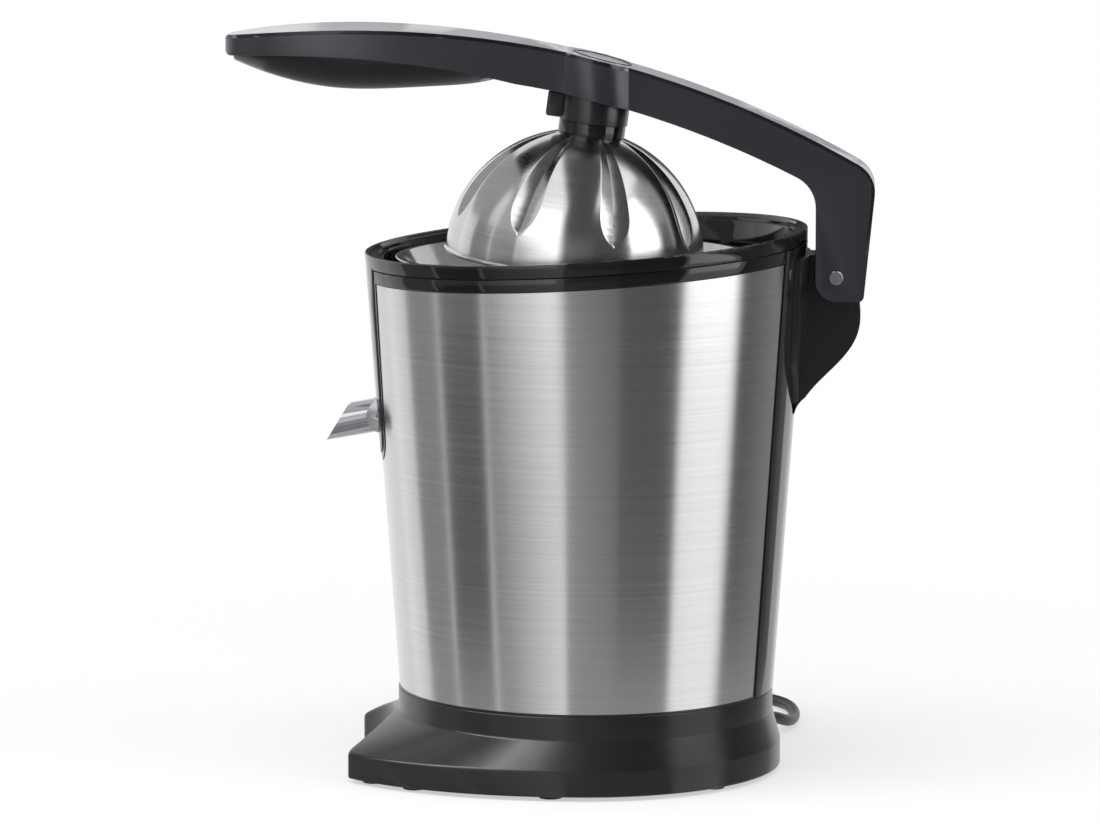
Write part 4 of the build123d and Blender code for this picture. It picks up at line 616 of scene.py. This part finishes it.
skirt_step, horn_step = 1.5, 0.3  # degrees between cuts, closer together at the horns
horn_turns, horn_cuts = (238.5, 301.5), 20
skirt_turns = [radians(skirt_step * i) for i in range(240)]
skirt_turns += [
    radians(side + horn_step * i) for side in horn_turns for i in range(-horn_cuts, horn_cuts + 1) if i % 5
]
skirt_verts = []
for turn in sorted(skirt_turns):
    start, way, share = slope_end(turn)
    reach = way.length * share
    low = collar_z + (band_z - collar_z) * share
    line = rounded([
        (spigot_r - collar_r, spigot_top, 0), (spigot_r - collar_r, collar_top, 0),
        (0, collar_top, collar_round), (0, collar_z, slope_round), (reach, low, band_round),
        (reach, foot_z, foot_round), (reach - wall_t, foot_z, lip_round), (reach - wall_t, roof_z, 0),
        (collar_in - collar_r, roof_z, 0), (collar_in - collar_r, spigot_top, 0),
    ])
    out = way.normalized()
    for x, z in line:
        flat = start + (out if x > 0 else start.normalized()) * x
        skirt_verts.append((flat.x, flat.y + axis_y, z))
skirt_cuts = len(skirt_turns)
skirt_faces = band_faces(skirt_cuts, len(skirt_verts) // skirt_cuts, inside_out=True)
base_skirt = mesh_piece("base_skirt", skirt_verts, skirt_faces)
smooth_by_angle(base_skirt, 35)
fit(base_skirt, "housing", "satin_black", satin, "base_shell")
# A slim lamp on the skirt alone draws the bright lines along its two rounded edges
base_only = bpy.data.collections.new("base_only")
base_only.objects.link(base_skirt)
edge_light = soft_box(
    "edge_light", angle=-50, reach=0.8, height=0.40,
    size_x=0.8, size_y=0.06, watts=9.0, spot=(0.05, -0.05, 0.02),
)
edge_light.visible_glossy = True
edge_light.light_linking.receiver_collection = base_only
plate_skin = plastic(
    "plate_black", (0.010, 0.010, 0.011), (0.017, 0.017, 0.018), 0.6, grain=0.0009, bump=0.00006
)
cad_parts["bottom_plate"].data.materials[0] = plate_skin
rubber = plastic("foot_rubber", (0.010, 0.010, 0.010), (0.016, 0.016, 0.016), 0.75, grain=0.0004)
softened("feet", "rubber_feet", 0.0006, "housing", "rubber", rubber)

# Skin of a worked metal: lines left by the tool, handling marks, drift of tone
worked, worked_in, worked_out = shader_group(
    "worked_metal",
    [
        ("Lines", "NodeSocketVector", (9.0, 9.0, 2400.0)),
        ("Tilt", "NodeSocketFloat", 0.0),
        ("Roughness", "NodeSocketFloat", 0.25),
        ("Spread", "NodeSocketFloat", 0.1),
    ],
    [("Tone", "NodeSocketFloat"), ("Roughness", "NodeSocketFloat"), ("Height", "NodeSocketFloat")],
)
worked_place = node(worked, "ShaderNodeTexCoord").outputs["Object"]
worked_turn = node(
    worked, "ShaderNodeVectorRotate", rotation_type="X_AXIS",
    Vector=worked_place, Angle=worked_in.outputs["Tilt"],
).outputs[0]
worked_run = node(
    worked, "ShaderNodeVectorMath", operation="MULTIPLY", s0=worked_turn, s1=worked_in.outputs["Lines"]
).outputs[0]
worked_line = node(worked, "ShaderNodeTexNoise", Vector=worked_run, Scale=1.0, Detail=4.0, Roughness=0.65)
worked_band = node(worked, "ShaderNodeTexNoise", Vector=worked_run, Scale=0.17, Detail=2.0)
worked_mark = node(worked, "ShaderNodeTexNoise", Vector=worked_place, Scale=16.0, Detail=4.0)
worked_bands = math(worked, "MULTIPLY", worked_band.outputs["Fac"], 0.5)
worked_lines = math(worked, "ADD", worked_line.outputs["Fac"], worked_bands)
worked_lines = math(worked, "SUBTRACT", worked_lines, 0.25)
worked.links.new(worked_lines, worked_out.inputs["Tone"])
worked_rough = math(worked, "SUBTRACT", math(worked, "ADD", worked_lines, worked_mark.outputs["Fac"]), 1.0)
worked_rough = math(worked, "MULTIPLY", worked_rough, worked_in.outputs["Spread"])
worked_rough = math(worked, "ADD", worked_in.outputs["Roughness"], worked_rough)
worked.links.new(worked_rough, worked_out.inputs["Roughness"])
worked.links.new(worked_line.outputs["Fac"], worked_out.inputs["Height"])


def metal(name, dark, light, roughness, lines, spread=0.1, bump=0.000002, tilt=0.0, grain=0.0, centre=None):
    """Worked metal between two tones; with a centre, brushed round an axis through it."""
    material, tree, shader = new_material(name)
    face = node(tree, "ShaderNodeGroup", node_tree=worked)
    face.inputs["Lines"].default_value = lines
    face.inputs["Tilt"].default_value = tilt
    face.inputs["Roughness"].default_value = roughness
    face.inputs["Spread"].default_value = spread
    tree.links.new(between(tree, face.outputs["Tone"], dark, light), shader.inputs["Base Color"])
    tree.links.new(face.outputs["Roughness"], shader.inputs["Roughness"])
    relief = node(tree, "ShaderNodeBump", Height=face.outputs["Height"], Distance=bump, Strength=0.5)
    tree.links.new(relief.outputs["Normal"], shader.inputs["Normal"])
    shader.inputs["Metallic"].default_value = 1.0
    if centre:
        shader.inputs["Anisotropic"].default_value = grain
        shader.inputs["Anisotropic Rotation"].default_value = 0.25
        spot = node(tree, "ShaderNodeTexCoord").outputs["Object"]
        arm = node(tree, "ShaderNodeVectorMath", operation="SUBTRACT", s0=spot, s1=centre).outputs[0]
        axis = (0.0, sin(tilt), cos(tilt))
        around = node(tree, "ShaderNodeVectorMath", operation="CROSS_PRODUCT", s0=axis, s1=arm).outputs[0]
        turn = node(
            tree, "ShaderNodeVectorTransform", vector_type="VECTOR",
            convert_from="OBJECT", convert_to="WORLD", Vector=around,
        )
        tree.links.new(turn.outputs[0], shader.inputs["Tangent"])
    return material


zinc = metal("zinc_plate", (0.40, 0.40, 0.41), (0.55, 0.55, 0.56), 0.34, (420.0, 420.0, 420.0), spread=0.16)
# Screws: a low domed head with a cross, whose twelve corners each take two steps of the rim
screw_r, screw_h, cross_l, cross_w, cross_d = 0.0031, 0.0011, 0.0019, 0.00055, 0.0007
head_line = ((1.0, 0.0003), (1.0, -0.0004), (0.86, -0.0008), (0.72, -0.00095))  # share of radius, height
head_sides, cross_count = 24, 12
cross = []
for quarter in range(4):
    a = quarter * pi / 2
    for u, v in ((cross_w, cross_w), (cross_w, cross_l), (-cross_w, cross_l)):
        cross.append((u * cos(a) - v * sin(a), u * sin(a) + v * cos(a)))
screw_spots = ((0.058, 0.036), (0.066, -0.030), (0.052, -0.060))  # on one side, and mirrored
screw_verts, screw_faces = [], []
for x, y in ((side * x, y) for x, y in screw_spots for side in (1, -1)):
    first = len(screw_verts)
    for share, z in head_line:
        for k in range(head_sides):
            a = 2 * pi * k / head_sides
            r = share * screw_r
            screw_verts.append((x + r * cos(a), axis_y + y + r * sin(a), foot_z + z))
    for i in range(len(head_line) - 1):
        a, b = first + i * head_sides, first + (i + 1) * head_sides
        for k in range(head_sides):
            n = (k + 1) % head_sides
            screw_faces.append((a + n, a + k, b + k, b + n))
    rim, low = len(screw_verts) - head_sides, len(screw_verts)
    for z in (-screw_h, -screw_h + cross_d):
        for u, v in cross:
            screw_verts.append((x + u, axis_y + y + v, foot_z + z))
    deep = low + cross_count
    for k in range(cross_count):
        n = (k + 1) % cross_count
        start, mid, end = (rim + (2 * k + step) % head_sides for step in (3, 4, 5))
        screw_faces.append((start, low + k, low + n, end, mid))
        screw_faces.append((low + k, deep + k, deep + n, low + n))
    screw_faces.append(tuple(deep + k for k in range(cross_count)))
screws = mesh_piece("plate_screws", screw_verts, screw_faces)
smooth_by_angle(screws, 30)
fit(screws, "housing", "steel_part", zinc)
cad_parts["plug_pins"].data.materials[0] = zinc

# Drive
# A small brushed motor stands in the base and turns the cone through two pairs of
# gears. Pressing the cone down lowers the shaft on to a switch; a coil
# spring lifts it again. Steel, sintered bronze and natural plastic, all unpainted.
natural = plastic("gear_plastic", (0.56, 0.55, 0.50), (0.70, 0.69, 0.64), 0.42, grain=0.0009)
ground = metal(
    "ground_steel", (0.36, 0.36, 0.37), (0.56, 0.56, 0.57), 0.26, (60.0, 60.0, 3200.0), spread=0.12
)
bronze = metal(
    "sintered_bronze", (0.30, 0.19, 0.09), (0.47, 0.31, 0.15), 0.44, (1500.0, 1500.0, 1500.0), bump=0.00001
)
ferrite = plastic("ferrite", (0.020, 0.020, 0.022), (0.034, 0.033, 0.035), 0.62, grain=0.0003, bump=0.00005)
stack = metal("sheet_stack", (0.16, 0.16, 0.165), (0.44, 0.43, 0.42), 0.38, (4.0, 4.0, 5200.0), bump=0.00001)
spring_steel = metal("spring_steel", (0.42, 0.42, 0.43), (0.60, 0.60, 0.61), 0.22, (900.0, 900.0, 900.0))
for name, finish in (
    ("motor_can", zinc), ("motor_cap", plate_skin), ("motor_bushes", bronze), ("motor_magnets", ferrite),
    ("motor_rotor", stack), ("motor_shaft", ground), ("motor_fan", natural), ("motor_pinion", ground),
    ("idler_gear", natural), ("idler_axle", ground), ("output_gear", natural), ("gear_plate", zinc),
    ("gear_cover", natural), ("drive_shaft", ground), ("upper_bush", bronze), ("lower_bush", bronze),
    ("shaft_seal", rubber), ("thrust_cup", natural), ("switch_body", plate_skin), ("switch_button", natural),
):
    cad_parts[name].data.materials[0] = finish
# The return spring, which shortens under its cup as the cone is pressed down, is copied into a mesh of its
# own
spring_coil = place(bpy.data.objects.new("spring_coil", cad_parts["return_spring"].data.copy()))
fit(spring_coil, "housing", "bright_steel", spring_steel, "return_spring")
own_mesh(spring_coil)

# Body
# Tapered inner housing moulded in black plastic, wrapped in stainless sheet that is
# brushed round the body. A gloss band under the rim frames the apron in front, and a
# gloss panel closes the wrap behind.
inner_black = plastic("inner_black", (0.012, 0.012, 0.013), (0.019, 0.019, 0.020), 0.5)
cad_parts["body_housing"].data.materials[0] = inner_black
brushed = metal(
    "brushed_wrap", (0.50, 0.503, 0.507), (0.64, 0.642, 0.646), 0.23, (7.0, 7.0, 2300.0),
    spread=0.09, bump=0.0000025, grain=0.85, centre=(0, axis_y, 0),
)
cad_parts["steel_wrap"].data.materials[0] = brushed
gloss = plastic(
    "gloss_black", (0.0045, 0.0046, 0.0052), (0.0075, 0.0076, 0.0084), 0.07,
    grain=0.0035, bump=0.000003, spread=0.025,
)
softened("gloss_frame", "trim_frame", 0.00045, "housing", "gloss_black", gloss)
softened("gloss_panel", "rear_panel", 0.0003, "housing", "gloss_black", gloss)


def hoop(name, sides, section):
    """Closed ring; section(turn) gives the corners of its cut face at one angle."""
    rings = [section(2 * pi * i / sides) for i in range(sides)]
    verts = [corner for ring in rings for corner in ring]
    piece = mesh_piece(name, verts, band_faces(sides, len(rings[0])))
    smooth_by_angle(piece, 40)
    return piece


# A thin near-black ring at the sheet's lower edge on the collar is painted shade for the joint there
shade_skin = plastic(
    "painted_shade_black", (0.0050, 0.0050, 0.0056), (0.0080, 0.0080, 0.0088), 0.3, grain=0.0004, bump=0.00001
)
sheet_foot_r, sheet_slope = 0.0812, tan(radians(4.16))
shade_ring_h, shade_ring_depth, shade_ring_proud = 0.0010, 0.0006, 0.00016


def foot_shade_section(turn):
    """Corners of the shade ring's cut face, following the sheet's taper."""
    line = []
    inner, outer = -shade_ring_depth, shade_ring_proud
    for out, lift in ((inner, 0), (outer, 0), (outer, shade_ring_h), (inner, shade_ring_h)):
        r = sheet_foot_r + out + sheet_slope * lift
        line.append((r * cos(turn), axis_y + r * sin(turn), collar_top + lift))
    return line


fit(hoop("foot_gasket", 144, foot_shade_section), "housing", "satin_black", shade_skin)

# Juice bowl, strainer and cone
# Black gloss bowl that lifts out, with a slanted rim and an apron for the spout. A
# pressed steel strainer hangs in it, and the ribbed cone stands on the drive shaft.
softened("bowl", "juice_bowl", 0.0005, "housing", "gloss_black", gloss)
# Steel colour for the strainer, darkened below bare steel to paint in the dark reflection that it shows
# round the bell
strainer_steel = metal(
    "strainer_steel", (0.36, 0.36, 0.365), (0.48, 0.48, 0.485), 0.13, (160.0, 160.0, 160.0), spread=0.08
)
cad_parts["sieve"].data.materials[0] = strainer_steel
cone_skin = plastic(
    "cone_black", (0.010, 0.010, 0.011), (0.016, 0.016, 0.017), 0.22, grain=0.001, bump=0.00001
)
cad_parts["reamer_cone"].data.materials[0] = cone_skin

# Spout
# Short tube of polished steel, cut to a slanted lip and joined to a cross barrel. It
# tips up on two pins in the apron to stop the drip.
# Polished steel colour, darkened below bare steel to paint in the dark reflection that the tube shows
mirror = metal(
    "polished_steel", (0.30, 0.303, 0.312), (0.38, 0.384, 0.395), 0.09, (240.0, 240.0, 240.0), spread=0.06
)
softened("spout_tube", "spout", 0.00022, "spout", "bright_steel", mirror)
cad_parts["spout_pins"].data.materials[0] = mirror

# Hinge
# Black bracket with a broad flange on the back of the body; the lever's fork turns
# on a ground steel pin in two bronze bushes.
bracket_black = plastic("bracket_black", (0.0068, 0.0068, 0.0072), (0.0105, 0.0105, 0.0112), 0.33)
bracket = softened("hinge_arm", "hinge_bracket", 0.0009, "housing", "satin_black", bracket_black)
# On either side of the rib the flange narrows in a straight line towards its foot
flange_half, flange_round, flange_low, flange_full = 0.0285, 0.023, 0.157, 0.188
rib_half = 0.0097
for point in bracket.data.vertices:
    x, y, z = point.co
    if abs(x) < rib_half or z > flange_full:
        continue
    drop = max(0.0, flange_low + flange_round - z)
    was = flange_half - flange_round + sqrt(max(0.0, flange_round**2 - drop**2))
    now = flange_half - flange_round * (flange_full - z) / (flange_full - flange_low)
    turn, r = atan2(x, y - axis_y) * min(1.0, now / was), hypot(x, y - axis_y)
    point.co = (r * sin(turn), axis_y + r * cos(turn), z)
# Below the rib the flange thins against the panel until it ends in a point
tip_full, tip_left, panel_proud = 0.1645, 0.12, 0.0008
for point in bracket.data.vertices:
    x, y, z = point.co
    if z > tip_full:
        continue
    share = max(0.0, (z - flange_low) / (tip_full - flange_low))
    seat = sheet_foot_r + sheet_slope * (z - collar_top) + panel_proud
    turn, r = atan2(x, y - axis_y), hypot(x, y - axis_y)
    r = seat + (r - seat) * (tip_left + (1 - tip_left) * share)
    point.co = (r * sin(turn), axis_y + r * cos(turn), z)
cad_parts["hinge_bushes"].data.materials[0] = bronze
pin_steel = metal(
    "pin_steel", (0.42, 0.42, 0.425), (0.62, 0.62, 0.625), 0.25, (30.0, 1400.0, 700.0), spread=0.16
)
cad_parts["hinge_pin"].data.materials[0] = pin_steel

# Lever
# Hollow moulded arm with a broad handle. A silver-grey strip is clipped along its
# top and down its back, a round cap covers the bolt, and a soft pad fills the palm.
lever_skin = plastic("lever_grey", (0.0212, 0.0224, 0.0266), (0.0242, 0.0256, 0.0304), 0.27, spread=0.02)
softened("lever_beam", "lever_arm", 0.0010, "lever", "lever_grey", lever_skin)
strip_skin = plastic(
    "strip_grey", (0.350, 0.358, 0.385), (0.400, 0.408, 0.436), 0.26, bump=0.00001, spread=0.03
)
# The strip's narrow sides and its front edge are painted near-black, as painted shade for the groove that
# they stand in
painted_groove_shade = (0.006, 0.006, 0.007, 1)
strip_tree = strip_skin.node_tree
strip_shader = strip_tree.nodes["Principled BSDF"]
strip_facing = node(strip_tree, "ShaderNodeTexCoord").outputs["Normal"]
strip_way = node(strip_tree, "ShaderNodeSeparateXYZ", Vector=strip_facing)
strip_side = math(
    strip_tree, "MAXIMUM", math(strip_tree, "ABSOLUTE", strip_way.outputs["X"]),
    math(strip_tree, "MULTIPLY", strip_way.outputs["Y"], -1.0),
)
strip_shade_share = node(
    strip_tree, "ShaderNodeMapRange", Value=strip_side, From_Min=0.55, From_Max=0.8
).outputs[0]
strip_mix = node(strip_tree, "ShaderNodeMix", data_type="RGBA", s0=strip_shade_share)
strip_tree.links.new(strip_shader.inputs["Base Color"].links[0].from_socket, strip_mix.inputs[6])
strip_mix.inputs[7].default_value = painted_groove_shade
strip_tree.links.new(strip_mix.outputs[2], strip_shader.inputs["Base Color"])
softened("lever_strip", "lever_cover", 0.0005, "lever", "cover_grey", strip_skin)
softened("cap_disc", "boss_cap", 0.0006, "lever", "cover_grey", strip_skin)
# A near-black ring in the gap round the cap, painted shade for that gap, follows the arm's arched top
arm_peak, arm_arc = Vector((0, -0.0844, 0.324)), 0.440
cap_at = 0.0229
cap_shade_line = (
    (0.01185, -0.0003), (0.01190, 0.00030), (0.01205, 0.00042),
    (0.01245, 0.00042), (0.01262, 0.00030), (0.01270, -0.0003),
)


def cap_shade_section(turn):
    """Corners of the shade ring's cut face on the arm's curved top."""
    line = []
    for r, lift in cap_shade_line:
        y = cap_at + r * sin(turn)
        top = arm_peak.z - arm_arc + sqrt(arm_arc**2 - (y - arm_peak.y) ** 2)
        line.append((r * cos(turn), y, top + lift))
    return line


fit(hoop("cap_seam", 72, cap_shade_section), "lever", "lever_grey", shade_skin)
grip_skin = plastic(
    "grip_rubber", (0.006, 0.006, 0.007), (0.010, 0.010, 0.011), 0.24,
    grain=0.0012, bump=0.00001, specular=0.3,
)
softened("palm_pad", "grip_pad", 0.0008, "lever", "grip", grip_skin)

# Bell
# Thin steel bell, spun and then pressed with eight flutes, that squeezes the fruit.
# Its gloss neck snaps into a sleeve under the arm, and a catch in front lets it go.
bell_r, bell_t, bell_skirt, bead_r = 0.0562, 0.0009, 0.0022, 0.0013
bell_tilt = radians(7.5)
bell_at = Vector((0, 0.0107, 0.2236))
bell_up = Vector((0, sin(bell_tilt), cos(bell_tilt)))
bell_back = Vector((0, cos(bell_tilt), -sin(bell_tilt)))
flute_count, flute_phase = 8, radians(19)
flute_wall = tan(radians(68))
flute_edge = 0.00008  # rounding where a flute's wall meets the dome
flute_least, flute_widest = 0.0002, 0.8  # least depth drawn, and most of a sector that a half takes
# Depth of a flute's valley by the angle in degrees from the crown
flute_depths = (
    (15.2, 0.0), (18, 0.00045), (24, 0.00105), (36, 0.00155), (47, 0.00207), (58, 0.0025), (64, 0.00265),
    (68, 0.00246), (71.5, 0.0020), (74, 0.00136), (75.6, 0.00065), (76.4, 0.0),
)


def flute_depth(angle):
    """Depth of a flute's valley at an angle in degrees from the crown."""
    for (a, d), (b, e) in zip(flute_depths, flute_depths[1:]):
        if a <= angle <= b:
            return d + (e - d) * (angle - a) / (b - a)
    return 0.0


# Rings of the dome by angle: the crown, the flutes, their round ends and the plain edge
bell_angles = [4.09, 8, 12]
for first_angle, step, count in ((15.2, 1.6, 31), (64.5, 0.6, 21), (78, 2, 7)):
    bell_angles += [first_angle + step * i for i in range(count)]
sector = pi / flute_count
wall_steps = (0.0, 0.03, 0.3, 0.6, 0.9, 0.985, 1.0, 1.015, 1.1)
flat_steps = 7


def bell_ring(degree, sink):
    """Ring of points round the dome at an angle from the crown, dented by the flutes."""
    angle, depth, ring = radians(degree), flute_depth(degree), []
    span = bell_r * sin(angle)
    half = min(max(depth, flute_least) * flute_wall / span, flute_widest * sector)
    steps = [half * step for step in wall_steps]
    steps += [steps[-1] + (sector - steps[-1]) * (i + 1) / flat_steps for i in range(flat_steps)]
    for flute in range(flute_count):
        for off in [-step for step in reversed(steps[1:])] + steps[:-1]:
            gap = depth - abs(off) * span / flute_wall
            dent = (gap + sqrt(gap * gap + flute_edge**2)) / 2 if depth else 0.0
            turn = flute_phase + 2 * flute * sector + off
            side = bell_back * cos(turn) - Vector((sin(turn), 0, 0))
            ring.append((side, bell_r - sink - dent, angle))
    return ring


def bell_face(sink):
    """Rings of the bell's outer face, or of its inner face when sunk by the sheet's thickness."""
    rings = []
    for degree in bell_angles:
        rings.append([bell_at + (s * sin(a) + bell_up * cos(a)) * r for s, r, a in bell_ring(degree, sink)])
    rings.append([bell_at + s * (bell_r - sink) - bell_up * bell_skirt for s, r, a in bell_ring(90, sink)])
    return rings


bell_rings = bell_face(0.0) + bell_face(bell_t)[::-1]
bell_verts = [spot for ring in bell_rings for spot in ring]
bell_faces = band_faces(len(bell_rings), len(bell_rings[0]))
# The rim is rolled into a bead
bead_first, bead_sides, bead_steps = len(bell_verts), 96, 14
for i in range(bead_sides):
    turn = 2 * pi * i / bead_sides
    side = bell_back * cos(turn) - Vector((sin(turn), 0, 0))
    for j in range(bead_steps):
        a = 2 * pi * j / bead_steps
        out, up = bell_r - bell_t / 2 + bead_r * cos(a), bead_r * sin(a) - bell_skirt
        bell_verts.append(bell_at + side * out + bell_up * up)
bell_faces += band_faces(bead_sides, bead_steps, first=bead_first, inside_out=True)
bell_shell = mesh_piece("bell_shell", bell_verts, bell_faces)
smooth_by_angle(bell_shell, 40)
bell_steel = metal(
    "bell_steel", (0.50, 0.498, 0.492), (0.66, 0.658, 0.652), 0.2, (34.0, 34.0, 1500.0),
    spread=0.08, tilt=bell_tilt, grain=0.8, centre=tuple(bell_at),
)
fit(bell_shell, "lever", "bell_steel", bell_steel, "press_bell")
softened("bell_collar", "bell_neck", 0.0004, "lever", "gloss_black", gloss)
sleeve_skin = plastic("sleeve_black", (0.0085, 0.0088, 0.0104), (0.0130, 0.0136, 0.0158), 0.24)
softened("bell_sleeve", "bell_holder", 0.0006, "lever", "satin_black", sleeve_skin)
softened("catch_lug", "release_button", 0.0008, "catch", "satin_black", sleeve_skin)
for name in ("bell_nut", "bell_bolt"):
    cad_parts[name].data.materials[0] = zinc
